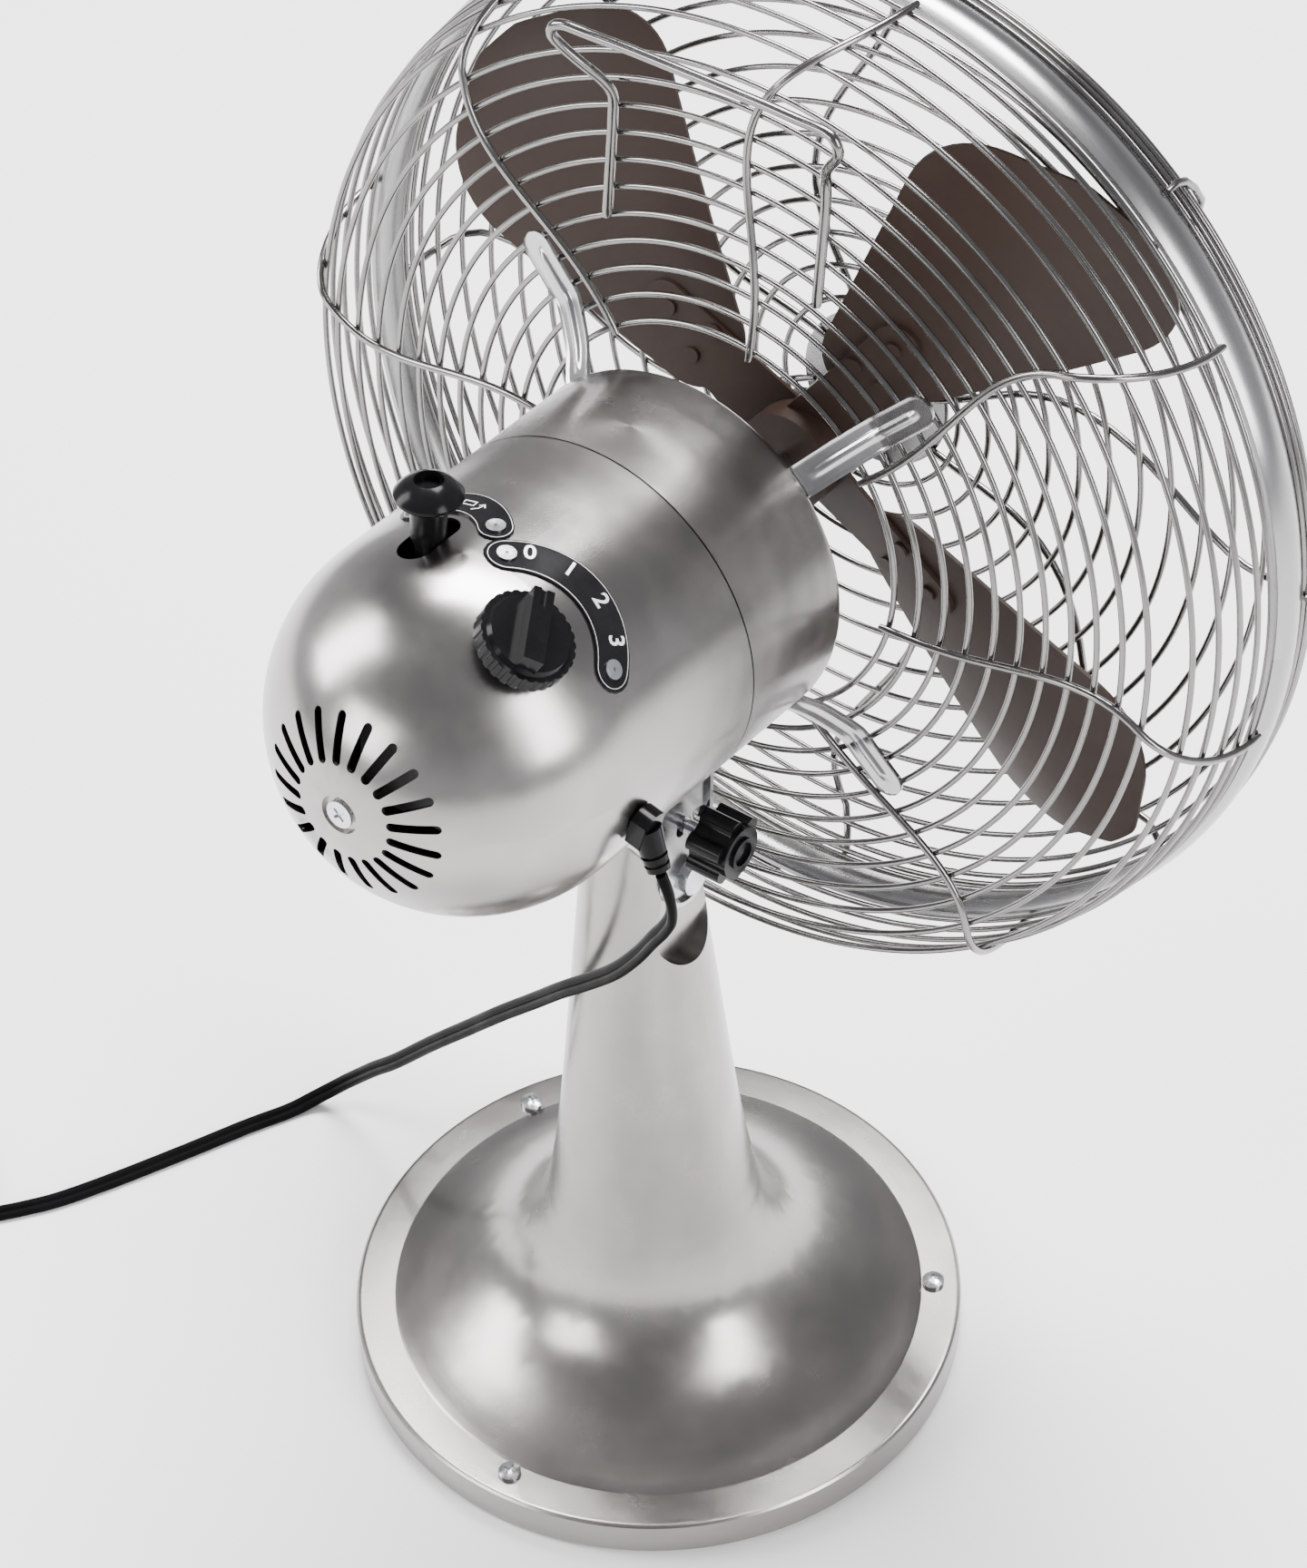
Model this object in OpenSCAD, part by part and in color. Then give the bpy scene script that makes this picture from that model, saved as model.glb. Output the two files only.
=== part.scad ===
// Oscillating desk fan: spun metal base, tilting and swivelling head, four blades in a wire guard.
// Z is up and the fan blows towards -Y. The origin is under the middle of the base, on the floor.
// Millimetres. Each module draws one physical piece, or one set of identical fasteners.

/* [Base and column] */
// Outer diameter of the base
base_d = 216; // [190:1:250]
// Height of the base's upright skirt above the floor
skirt_h = 15; // [12:0.5:20]
// Thickness of the spun shell
shell_t = 1.8; // [1.2:0.1:2.4]
// Radius at which the base starts to rise into the column
flare_r = 93; // [80:1:93]
// Radius of the column at its neck
neck_r = 20.6; // [19:0.1:23]
// Height of the tilt pivot above the floor
pivot_z = 235; // [215:1:260]
// Thickness of the non-slip pad under the base
pad_t = 2; // [1.5:0.5:4]
// Radius of the circle of the base screws
base_screw_r = 98.1; // [98:0.1:99]
// Mass ring's height inside the base
weight_h = 7; // [4:0.5:8]

/* [Tilt joint] */
// Angle at which the head is set, front down
rest_tilt = 6; // [0:1:8]
// Width of the column's flattened head between the bracket arms
tongue_w = 33; // [28:0.5:36]
// Thickness of the fibre washers between tongue and arms
washer_t = 0.5; // [0.3:0.1:1]
// Thickness of the stamped bracket
bracket_t = 2.4; // [2:0.1:3]
// Radius of the round end of each bracket arm
arm_r = 11.5; // [10:0.5:12]
// Diameter of the pivot bolt
pivot_d = 6; // [5:0.5:8]
// Distance from the pivot to the locking stud
lock_r = 22; // [20:0.5:24]
// Diameter of the locking stud
stud_d = 5; // [4:0.5:6]
// Diameter of the locking knob
tilt_knob_d = 24; // [20:1:28]
// Length of the locking knob
tilt_knob_l = 15; // [12:1:18]

/* [Head] */
// Height of the motor's axis above the tilt pivot
axis_h = 114.5; // [110:0.5:130]
// Distance of the swivel axis behind the tilt pivot
swivel_y = 12; // [8:0.5:16]
// Outer radius of the motor housing
housing_r = 61; // [58:0.5:66]
// Thickness of the housing's sheet
sheet_t = 1.2; // [0.8:0.1:1.6]
// Length of the front drum in front of the swivel axis
drum_front = 29; // [27:0.5:36]
// Distance of the seam between drum and rear cover behind the swivel axis
seam_y = 18.7; // [18:0.1:22]
// Width of the seam
seam_gap = 0.6; // [0.3:0.1:1]
// Distance at which the rear cover's round end begins
dome_y = 79; // [76:0.5:86]
// Diameter of the swivel spindle
spindle_d = 9; // [8:0.5:10]

/* [Controls] */
// Angle of the speed knob round the housing, from the top towards -X
speed_angle = 32; // [28:1:36]
// Distance of the speed knob behind the swivel axis
speed_y = 98; // [96:0.5:100]
// Diameter of the speed knob
speed_knob_d = 30; // [26:1:34]
// Sideways distance of the swing knob from the middle
swing_x = 14; // [13:0.5:15]
// Distance of the swing knob behind the swivel axis
swing_y = 80.5; // [80:0.5:82]
// Diameter of the swing knob's cap
swing_knob_d = 21; // [17:0.5:24]
// Angle of the cord gland round the housing, from the top towards -X
gland_angle = 103.5; // [98:0.5:112]
// Distance of the cord gland behind the swivel axis
gland_y = 74.5; // [66:0.5:77]

/* [Guard] */
// Radius of the guard where front and rear halves meet
guard_r = 175; // [170:1:190]
// Diameter of the ring wires
ring_d = 2; // [1.6:0.1:2.6]
// Diameter of the curved radial wires
spoke_d = 2.6; // [2.2:0.1:3.2]
// Distance between rings
ring_pitch = 8.8; // [8:0.1:10]
// Distance of the rear guard's flat face in front of the swivel axis
rear_face_y = 51; // [49:0.5:53]
// Distance of the middle of the rim band in front of the swivel axis
band_y = 100; // [98:0.5:104]
// Width of the rim band
band_w = 14; // [12:0.5:16]
// Distance of the front guard's middle in front of the swivel axis
front_y = 134; // [130:0.5:140]
// Diameter of the medallion in the middle of the front guard
medal_d = 56; // [50:1:64]
// Diameter of the carrying handle's wire
handle_d = 3.4; // [3:0.1:4.5]
// Distance between the carrying handle's legs
handle_w = 78; // [70:1:90]
// Sideways distance of the handle's middle from the middle of the guard
handle_x = 6; // [0:1:8]

/* [Rotor] */
// Diameter swept by the blades
blade_d = 326; // [290:1:330]
// Diameter of the motor shaft
shaft_d = 8; // [6:0.5:9]
// Distance of the middle of the blades in front of the swivel axis
blade_y = 95; // [90:0.5:97]
// Pitch of the blades
blade_pitch = 13; // [8:1:18]
// Turn of the first blade from the top towards -X
blade_phase = 31; // [0:1:89]
// Thickness of a blade
blade_t = 1.2; // [0.8:0.1:1.6]

/* [Cord] */
// Width of the flat two-core cord
cord_w = 6; // [5:0.5:8]
// Thickness of the flat two-core cord
cord_t = 3.2; // [2.5:0.1:4]

/* [Hidden] */
$fn = 48;

// Clearances
seam_clear = 0.3;
hole_clear = 0.25;
run_clear = 0.05;

// Base
base_r = base_d / 2;
skirt_round = 2;
plate_t = 1.5;
plate_r = base_screw_r + 6;
base_screw_d = 4;
base_head_d = 7.8;
base_head_h = 2.4;
base_screw_turn = 94.8;
weight_r_in = 40;
weight_r_out = 88;
flare_z0 = skirt_h + 0.6;
flare_len = 19;
column_slope = 0.095;
neck_z = pivot_z - 18;
column_top = pivot_z + lock_r + 11;
cavity_top = pivot_z - 48;
pocket_bottom = pivot_z - 38;
pocket_r = arm_r + 2;

// Tilt joint
arm_in = tongue_w / 2 + washer_t;
arm_out = arm_in + bracket_t;
lip_h = 1.6;
pivot_head_d = 12;
pivot_head_h = 4.4;
tilt_back = 22;
tilt_down = 4;
web_z = axis_h - housing_r - 13.5;
web_front = swivel_y - 22;
web_rear = swivel_y + 22;

// Swivel
neck_bottom = bracket_t + web_z + 0.3 - axis_h;
neck_r_low = 8.2;
flange_r = 16;
flange_z = seam_clear - sqrt(pow(housing_r - sheet_t, 2) - flange_r * flange_r);
anchor_x = 15;
link_z = -housing_r - 7.2;
link_t = 2.2;

// Housing
cover_end = dome_y + housing_r;
dimple_r = 7.5;
dimple_depth = 1.8;
swing_boss_d = 10.6;
swing_slot_r = swing_boss_d / 2 + 2 * seam_clear;
vent_count = 20;
vent_in = 17.6;
vent_out = 30;
vent_w = 3;

// Turn of the speed knob's bar from the housing's side when it is off
speed_off = -56;

// Gear train
wheel_teeth = 32;
wheel_r = 9.8;
worm_r = 3.9;
gear_module = 0.8;
pinion_teeth = 10;
crank_teeth = 35;
gear_gap = gear_module * (pinion_teeth + crank_teeth) / 2;
crank_y = swing_y - sqrt(gear_gap * gear_gap - swing_x * swing_x);
crank_r = 9;
crank_turn = -atan2(swing_y - crank_y, swing_x);
gear_h = 4;
gear_z = -26;
case_wall = 2.5;
case_low = -34;
case_top = 15;
case_front = crank_y - 18;
case_rear = swing_y + 15;
case_left = -18.5;
case_right = swing_x + 14;

// Guard
rear_rings = 11;
first_ring = guard_r - 19 - ring_pitch * (rear_rings - 1);
spoke_count = 8;
spoke_turn = 9.5;
spoke_sweep = 46;
rear_corner_w = 18.5;
rear_corner_d = band_y - 5 - rear_face_y;
band_bulge = 12;
front_corner_r = guard_r - 12;
front_rings = 12;
front_face_y = front_y - 8;
bracket_r = 106;
bracket_w = 11;

// Rotor
hub_r = 17;
hub_rear_y = blade_y - 9;
blade_camber = 220;
blade_root = 34;

gland_dip = 55;
gland_len = 14;

// Cord: the gland's end, the drop past the column, and the floor, to the coil
cord_route = [
    [-68.6, 77.2, 329], [-70, 76.6, 323.5], [-70.3, 75, 316], [-68.5, 72.5, 306], [-63.5, 69.5, 295.5], [-56, 66, 283],
    [-46, 61.5, 266], [-33, 56, 246.5], [-17, 49, 226], [2, 41, 203], [21, 33, 179], [43, 25, 152], [67, 16, 121.5],
    [91, 8, 91.5], [115, 1, 61], [130, -4, 43], [142, -8, 28], [151, -10, 17], [158, -9.5, 9], [164, -5, 3.8],
    [169, 4, 1.8], [177, 19, 1.8], [188, 42, 1.8], [201, 68, 1.8], [211, 86, 1.8], [219, 97, 1.8], [226, 105.5, 1.8],
    [231.5, 114, 1.8], [235.2, 123, 1.8]
];
coil_at = [274, 123, 0];
coil_mean_r = 33;
coil_h = 7;
coil_build = 18;

metal = [0.72, 0.70, 0.68];
zinc = [0.80, 0.81, 0.82];
black = [0.07, 0.07, 0.08];
brown = [0.30, 0.23, 0.20];
wire = [0.66, 0.65, 0.64];

// ---- helpers ----
function unit(v) = v / norm(v);
function lerp(a, b, t) = a + (b - a) * t;
function tangents(p) =
    [for (i = [0:len(p) - 1]) unit(p[min(i + 1, len(p) - 1)] - p[max(i - 1, 0)])];
function square_to(v, t) = unit(v - (v * t) * t);
function carried(t, first) =
    [for (i = 0, u = square_to(first, t[0]); i < len(t); i = i + 1,
        u = i < len(t) ? square_to(u, t[i]) : u) u];
function column_r(z) =
    neck_r + column_slope * (neck_z - z)
    + (flare_r - neck_r - column_slope * (neck_z - flare_z0)) * exp(-(z - flare_z0) / flare_len);

// A rod swept through points, w wide along each carried side vector and t thick
module rod(points, w, t, sides, first) {
    along = tangents(points);
    side = carried(along, first);
    last = len(points) - 1;
    rings = [for (i = [0:last]) for (k = [0:sides - 1])
        points[i] + cos(360 * k / sides) * w / 2 * side[i]
        + sin(360 * k / sides) * t / 2 * cross(along[i], side[i])];
    skin = [for (i = [0:last - 1]) for (k = [0:sides - 1])
        let (a = i * sides + k, b = i * sides + (k + 1) % sides)
        each [[a, b, a + sides], [b, b + sides, a + sides]]];
    ends = [[for (k = [sides - 1:-1:0]) k], [for (k = [0:sides - 1]) last * sides + k]];
    polyhedron(points = rings, faces = [for (f = concat(skin, ends)) [f[0], for (j = [len(f) - 1:-1:1]) f[j]]]);
}

// Places things in the tilting bracket's frame, in the head's frame, or along the motor's axis
module in_bracket() { translate([0, 0, pivot_z]) rotate([rest_tilt, 0, 0]) children(); }
module in_head() { in_bracket() translate([0, swivel_y, axis_h]) children(); }
module along_axis() { in_head() rotate([-90, 0, 0]) children(); }
// On the housing: turn from the top towards -X, distance behind the swivel axis; +Z is outwards
module on_housing(angle, y) { in_head() rotate([0, -angle, 0]) translate([0, y, 0]) children(); }

module torus(r, y, d) { along_axis() translate([0, 0, y]) rotate_extrude() translate([r, 0]) circle(d = d); }

// Ring sector with round ends, centred on angle 0
module arc_slot(r, w, half) {
    function at(radius, turn) = radius * [cos(turn), sin(turn)];
    polygon(concat(
        [for (k = [0:10]) at(r + w / 2, lerp(-half, half, k / 10))],
        [for (k = [1:7]) at(r, half) + w / 2 * [cos(half + 22.5 * k), sin(half + 22.5 * k)]],
        [for (k = [0:10]) at(r - w / 2, lerp(half, -half, k / 10))],
        [for (k = [1:7]) at(r, -half) + w / 2 * [cos(180 - half + 22.5 * k), sin(180 - half + 22.5 * k)]]
    ));
}

module gear(teeth, height) {
    pitch = gear_module * teeth / 2;
    step = 360 / teeth;
    linear_extrude(height) {
        circle(pitch - 0.7);
        for (k = [0:teeth - 1]) rotate(k * step) polygon([
            [pitch - 1, -0.62], [pitch + 0.5, -0.26], [pitch + 0.5, 0.26], [pitch - 1, 0.62]]);
    }
}

// ---- stand ----
module shell_outline(inset) {
    steps = 22;
    polygon([
        [0, pad_t],
        [base_r - inset, pad_t],
        for (k = [0:3]) [base_r - inset - skirt_round * (1 - cos(30 * k)),
                         skirt_h - inset - skirt_round * (1 - sin(30 * k))],
        [flare_r + 1 - inset * 0.4, skirt_h - inset],
        for (k = [0:steps]) let (z = flare_z0 + (column_top - 8 - flare_z0) * pow(k / steps, 1.7))
            [column_r(z) - inset, z - inset * 0.6],
        for (k = [1:4]) [column_r(column_top - 8) - 9 * (1 - cos(20 * k)) - inset, column_top - 8 + 8 * sin(22.5 * k)],
        [0, column_top]
    ]);
}

module base_screw_places() {
    for (k = [0:2]) rotate(base_screw_turn + 120 * k) translate([base_screw_r, 0, 0]) children();
}

module base_shell() {
    color(metal) difference() {
        rotate_extrude() shell_outline(0);
        intersection() {
            rotate_extrude() shell_outline(shell_t);
            translate([0, 0, -1]) cylinder(r = base_d, h = cavity_top + 1);
        }
        for (x = [-tongue_w / 2 - 30, tongue_w / 2]) translate([x, 0, 0]) rotate([90, 0, 90]) linear_extrude(30) {
            translate([0, pocket_bottom + pocket_r]) circle(pocket_r);
            translate([-pocket_r, pocket_bottom + pocket_r]) square([2 * pocket_r, column_top - pocket_bottom]);
        }
        translate([0, 0, pivot_z]) rotate([0, 90, 0]) cylinder(d = pivot_d + 2 * run_clear, h = 80, center = true);
        translate([-tongue_w / 2 - 1, 0, pivot_z + lock_r]) rotate([0, 90, 0]) cylinder(d = stud_d, h = 19);
        base_screw_places() cylinder(d = base_screw_d + 2 * hole_clear, h = 40);
    }
}

module base_plate() {
    color([0.35, 0.35, 0.36]) difference() {
        translate([0, 0, pad_t]) cylinder(r = plate_r, h = plate_t);
        base_screw_places() cylinder(d = base_screw_d + 2 * hole_clear, h = 40);
        cylinder(d = 12, h = 20);
    }
}

module base_weight() {
    color([0.25, 0.25, 0.26]) translate([0, 0, pad_t + plate_t]) difference() {
        cylinder(r = weight_r_out, h = weight_h);
        translate([0, 0, -1]) cylinder(r = weight_r_in, h = weight_h + 2);
    }
}

module base_pad() {
    color(black) cylinder(r = base_r - 3, h = pad_t);
}

module base_screws() {
    color(zinc) base_screw_places() {
        translate([0, 0, pad_t + 1]) cylinder(d = base_screw_d, h = skirt_h - pad_t);
        difference() {
            translate([0, 0, skirt_h + 0.05]) intersection() {
                cylinder(d = base_head_d, h = base_head_h);
                translate([0, 0, base_head_h - 9]) sphere(9);
            }
            for (turn = [0, 90]) rotate(turn) translate([-2.2, -0.5, skirt_h + 1.2]) cube([4.4, 1, 3]);
        }
    }
}

module base_nuts() {
    color(zinc) base_screw_places() translate([0, 0, pad_t + plate_t]) difference() {
        cylinder(d = 8, h = 3.2, $fn = 6);
        translate([0, 0, -1]) cylinder(d = base_screw_d, h = 6);
    }
}

module pivot_bolt() {
    color(zinc) translate([0, 0, pivot_z]) rotate([0, 90, 0]) {
        translate([0, 0, -arm_out]) cylinder(d = pivot_d, h = 2 * arm_out + 9);
        translate([0, 0, -arm_out - pivot_head_h - 0.05]) intersection() {
            cylinder(d = pivot_head_d, h = pivot_head_h);
            translate([0, 0, 16]) sphere(16.6);
        }
    }
}

module pivot_nut() {
    color(zinc) translate([arm_out + 1, 0, pivot_z]) rotate([0, 90, 0]) difference() {
        cylinder(d = 11.5, h = 5, $fn = 6);
        translate([0, 0, -1]) cylinder(d = pivot_d, h = 8);
    }
}

module pivot_washers() {
    color([0.15, 0.13, 0.12]) translate([0, 0, pivot_z]) rotate([0, 90, 0])
        for (place = [-arm_in + 0.05, tongue_w / 2 + 0.05, arm_out + 0.05]) translate([0, 0, place]) difference() {
            cylinder(d = 16, h = place > arm_out ? 0.9 : washer_t - 0.1);
            translate([0, 0, -1]) cylinder(d = pivot_d + 0.1, h = 4);
        }
}

module lock_stud() {
    color(zinc) translate([0, 0, pivot_z + lock_r]) rotate([0, -90, 0]) {
        cylinder(d = stud_d, h = arm_out + 16);
        for (k = [0:5]) translate([0, 0, arm_out + 0.9 + k * 0.95]) cylinder(d1 = stud_d, d2 = stud_d + 0.7, h = 0.5);
    }
}

module tilt_knob() {
    knob_r = tilt_knob_d / 2;
    color(black) translate([-arm_out - 8, 0, pivot_z + lock_r]) rotate([0, -90, 0]) difference() {
        union() {
            cylinder(r = 5.5, h = tilt_knob_l);
            cylinder(r = knob_r - 3, h = tilt_knob_l - 1);
            for (k = [0:5]) rotate(60 * k) translate([knob_r - 3.4, 0, 0]) cylinder(r = 3.4, h = tilt_knob_l - 2.5);
        }
        translate([0, 0, -1]) cylinder(d = stud_d + 2 * run_clear, h = tilt_knob_l - 3);
        for (k = [0:5]) rotate(60 * k + 30) translate([knob_r + 0.6, 0, -1]) cylinder(r = 3.6, h = tilt_knob_l + 2);
        translate([0, 0, tilt_knob_l - 1.2]) cylinder(r = 4.2, h = 3);
    }
}

// ---- tilting bracket ----
// Side view of an arm: a round end at the pivot, widening to the web; grow moves its edge
module arm_outline(grow) {
    r = arm_r + grow;
    polygon(concat(
        [for (k = [0:16]) r * [cos(lerp(176, 382, k / 16)), sin(lerp(176, 382, k / 16))]],
        [[web_rear + grow, web_z - 6], [web_rear + grow, web_z + bracket_t + min(grow, 0)],
         [web_front - grow, web_z + bracket_t + min(grow, 0)]]
    ));
}

module tilt_bracket() {
    in_bracket() color(metal) difference() {
        union() {
            for (side = [0, 1]) mirror([side, 0, 0]) translate([arm_in, 0, 0]) rotate([90, 0, 90]) {
                linear_extrude(bracket_t) arm_outline(0);
                linear_extrude(bracket_t + lip_h) difference() {
                    arm_outline(0);
                    arm_outline(-1.6);
                }
            }
            translate([-arm_out, web_front, web_z]) cube([2 * arm_out, web_rear - web_front, bracket_t]);
        }
        rotate([0, 90, 0]) cylinder(d = pivot_d + 0.1, h = 80, center = true);
        rotate([90, 0, -90]) linear_extrude(40) rotate(90)
            rotate(((tilt_back - rest_tilt) - (rest_tilt + tilt_down)) / 2 * -1)
            arc_slot(lock_r, stud_d + 1.6, (tilt_back + tilt_down) / 2);
        translate([0, swivel_y, web_z - 1]) cylinder(d = spindle_d, h = 5);
        translate([anchor_x, swivel_y, web_z - 1]) cylinder(d = 3, h = 5);
    }
}

module swivel_spindle() {
    color(zinc) in_bracket() translate([0, swivel_y, 0]) {
        translate([0, 0, web_z - 1.8]) cylinder(r = 7.5, h = 1.8);
        translate([0, 0, web_z]) cylinder(d = spindle_d, h = axis_h - web_z + flange_z + 10);
    }
}

module spindle_clip() {
    color([0.3, 0.3, 0.32]) in_head() translate([0, 0, flange_z + 6.8]) difference() {
        cylinder(r = 7.5, h = 1);
        translate([0, 0, -1]) cylinder(d = spindle_d, h = 3);
    }
}

module link_anchor_pin() {
    color(zinc) in_bracket() translate([anchor_x, swivel_y, 0]) {
        translate([0, 0, web_z]) cylinder(d = 3, h = axis_h - web_z + link_z + link_t + 0.6);
        translate([0, 0, web_z + bracket_t]) cylinder(d = 6, h = axis_h - web_z - bracket_t + link_z - 0.2);
        translate([0, 0, axis_h + link_z + link_t + 0.2]) cylinder(d = 4.6, h = 0.8);
    }
}

module swing_link() {
    eye_r = 4;
    color(zinc) in_head() translate([0, 0, link_z]) linear_extrude(link_t) difference() {
        union() {
            translate([anchor_x, 0]) circle(eye_r);
            translate([crank_r, crank_y]) circle(eye_r);
            polygon([[anchor_x - 2.4, 0], [anchor_x + 2.4, 0], [crank_r + 2.4, crank_y], [crank_r - 2.4, crank_y]]);
        }
        translate([anchor_x, 0]) circle(d = 3.1);
        translate([crank_r, crank_y]) circle(d = 3.4);
    }
}

// ---- head ----
module swivel_neck() {
    color(metal) in_head() difference() {
        union() {
            translate([0, 0, neck_bottom]) cylinder(r = neck_r_low, h = flange_z - neck_bottom + 6);
            translate([0, 0, flange_z]) cylinder(r = flange_r, h = 5);
        }
        translate([0, 0, neck_bottom - 1]) cylinder(d = spindle_d + 2 * run_clear, h = 40);
    }
}

module motor_cover() {
    color(metal) difference() {
        along_axis() difference() {
            rotate_extrude() difference() {
                polygon([
                    [14, -drum_front], [housing_r - 3, -drum_front],
                    for (k = [1:4]) [housing_r - 3 * (1 - sin(22.5 * k)), -drum_front + 3 * (1 - cos(22.5 * k))],
                    [housing_r, seam_y - seam_gap], [housing_r - sheet_t, seam_y - seam_gap],
                    [housing_r - sheet_t, -drum_front + 3.4], [housing_r - 3.6, -drum_front + sheet_t],
                    [14, -drum_front + sheet_t]
                ]);
            }
            for (k = [0:11]) rotate(30 * k + 15) translate([0, 0, -drum_front - 1]) linear_extrude(4) {
                translate([26, -2]) square([14, 4]);
                for (r = [26, 40]) translate([r, 0]) circle(2);
            }
        }
        in_head() translate([0, 0, -housing_r - 5]) cylinder(r = neck_r_low + 1, h = 20);
        for (k = [0:3]) bracket_place(k) translate([0, -drum_front + 3, 53]) rotate([90, 0, 0]) cylinder(d = 3, h = 6);
    }
}

module cover_outline(r, dip) {
    polygon([
        [0, seam_y],
        [r, seam_y],
        for (k = [0:14]) [r * cos(90 * k / 15), dome_y + r * sin(90 * k / 15)],
        [dimple_r, dome_y + sqrt(r * r - dimple_r * dimple_r)],
        [dimple_r - 1.4, cover_end - dip],
        [0, cover_end - dip]
    ]);
}

module rear_cover() {
    color(metal) difference() {
        along_axis() difference() {
            rotate_extrude() difference() {
                intersection() {
                    union() {
                        translate([0, seam_y]) square([housing_r, dome_y - seam_y]);
                        translate([0, dome_y]) circle(housing_r);
                    }
                    translate([0, seam_y]) square([housing_r, cover_end - seam_y]);
                    difference() {
                        translate([-1, 0]) square([housing_r + 2, cover_end + 1]);
                        translate([-1, cover_end - dimple_depth]) square([dimple_r, 9]);
                    }
                }
                intersection() {
                    union() {
                        translate([0, seam_y - 1]) square([housing_r - sheet_t, dome_y - seam_y + 1]);
                        translate([0, dome_y]) circle(housing_r - sheet_t);
                    }
                    translate([0, seam_y - 1]) square([housing_r, cover_end - seam_y]);
                    difference() {
                        translate([-1, 0]) square([housing_r + 2, cover_end]);
                        translate([-1, cover_end - dimple_depth - sheet_t]) square([dimple_r + sheet_t, 9]);
                    }
                }
            }
            for (k = [0:vent_count - 1]) rotate(360 / vent_count * k + 9) translate([0, 0, dome_y + 30])
                linear_extrude(40) {
                    translate([vent_in, -vent_w / 2]) square([vent_out - vent_in, vent_w]);
                    for (r = [vent_in, vent_out]) translate([r, 0]) circle(vent_w / 2);
                }
            translate([0, 0, cover_end - 10]) cylinder(d = 4.2, h = 12);
        }
        in_head() translate([swing_x, swing_y, 40]) linear_extrude(40) {
            translate([-swing_slot_r, -5.5]) square([2 * swing_slot_r, 11]);
            for (y = [-5.5, 5.5]) translate([0, y]) circle(swing_slot_r);
        }
        on_housing(speed_angle, speed_y) translate([0, 0, 40]) cylinder(d = 8, h = 40);
        on_housing(gland_angle, gland_y) translate([0, 0, 40]) cylinder(d = 9.4, h = 40);
        in_head() translate([0, crank_y, -housing_r - 5]) cylinder(d = 9, h = 30);
        rivet_places() translate([0, 0, 40]) cylinder(d = 2.2, h = 40);
    }
}

module cover_screw() {
    color(zinc) along_axis() difference() {
        union() {
            translate([0, 0, case_rear + 0.3]) cylinder(d = 4, h = cover_end - dimple_depth - case_rear);
            translate([0, 0, cover_end - dimple_depth + 0.05]) cylinder(d = 9, h = 1.6);
        }
        for (turn = [45, 135]) rotate(turn) translate([-2.4, -0.5, cover_end - dimple_depth + 0.7]) cube([4.8, 1, 3]);
    }
}

module stator_core() {
    color([0.30, 0.30, 0.31]) along_axis() translate([0, 0, -8]) difference() {
        linear_extrude(24) intersection() {
            square(84, center = true);
            circle(r = 54);
        }
        translate([0, 0, -1]) cylinder(r = 24, h = 30);
        for (k = [0:3]) rotate(90 * k + 45) translate([48.5, 0, -1]) cylinder(d = 4.2, h = 30);
    }
}

module windings() {
    color([0.60, 0.30, 0.16]) along_axis() for (y = [-15.5, 24]) translate([0, 0, y]) rotate_extrude()
        translate([33, 0]) intersection() {
            square([15, 14.6], center = true);
            circle(9);
        }
}

// Cast plate with four legs and a bearing boss; dir points away from the stator
module bearing_plate(y, dir, boss) {
    along_axis() difference() {
        union() {
            translate([0, 0, y]) cylinder(r = boss, h = 11, center = true);
            translate([0, 0, y + dir * 3]) for (turn = [45, 135]) rotate(turn) cube([106, 11, 3], center = true);
        }
        translate([0, 0, y]) cylinder(d = shaft_d + 2 * run_clear, h = 30, center = true);
        for (k = [0:3]) rotate(90 * k + 45) translate([48.5, 0, y - 10]) cylinder(d = 4.2, h = 30);
    }
}

module front_bearing_plate() { color(zinc) bearing_plate(-22, -1, 9.5); }
module rear_bearing_plate() { color(zinc) bearing_plate(37, -1, 9.5); }

module motor_bolts() {
    color(zinc) along_axis() for (k = [0:3]) rotate(90 * k + 45) translate([48.5, 0, 0]) {
        translate([0, 0, -26.7]) cylinder(d = 4, h = 63);
        translate([0, 0, 35.6]) cylinder(d = 7, h = 3, $fn = 6);
    }
}

module capacitor() {
    color([0.85, 0.85, 0.80]) in_head() translate([-44, 52, -16]) rotate([90, 0, 90]) linear_extrude(12)
        offset(r = 2) square([22, 26]);
}

module gearbox_housing() {
    color(zinc) in_head() difference() {
        translate([case_left, case_front, case_low])
            cube([case_right - case_left, case_rear - case_front, case_top - case_low]);
        translate([case_left + case_wall, case_front + case_wall, case_low + case_wall])
            cube([case_right - case_left - 2 * case_wall, case_rear - case_front - 2 * case_wall,
                  case_top - case_low - 2 * case_wall]);
        rotate([-90, 0, 0]) translate([0, 0, case_front - 5]) cylinder(d = shaft_d + 1, h = 12);
        translate([swing_x, swing_y, 0]) cylinder(d = 4 + 2 * run_clear, h = 30);
        translate([0, crank_y, case_low - 1]) cylinder(d = 6 + 2 * run_clear, h = 8);
        rotate([-90, 0, 0]) translate([0, 0, case_rear - 4]) cylinder(d = 4, h = 8);
    }
}

module speed_switch() {
    color([0.12, 0.12, 0.13]) on_housing(speed_angle, speed_y) difference() {
        union() {
            translate([-12, -12, 25]) cube([24, 24, 12]);
            translate([0, 0, 36]) cylinder(d = 9, h = 4);
        }
        translate([0, 0, 30]) cylinder(d = 5 + 2 * run_clear, h = 20);
    }
}

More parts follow.
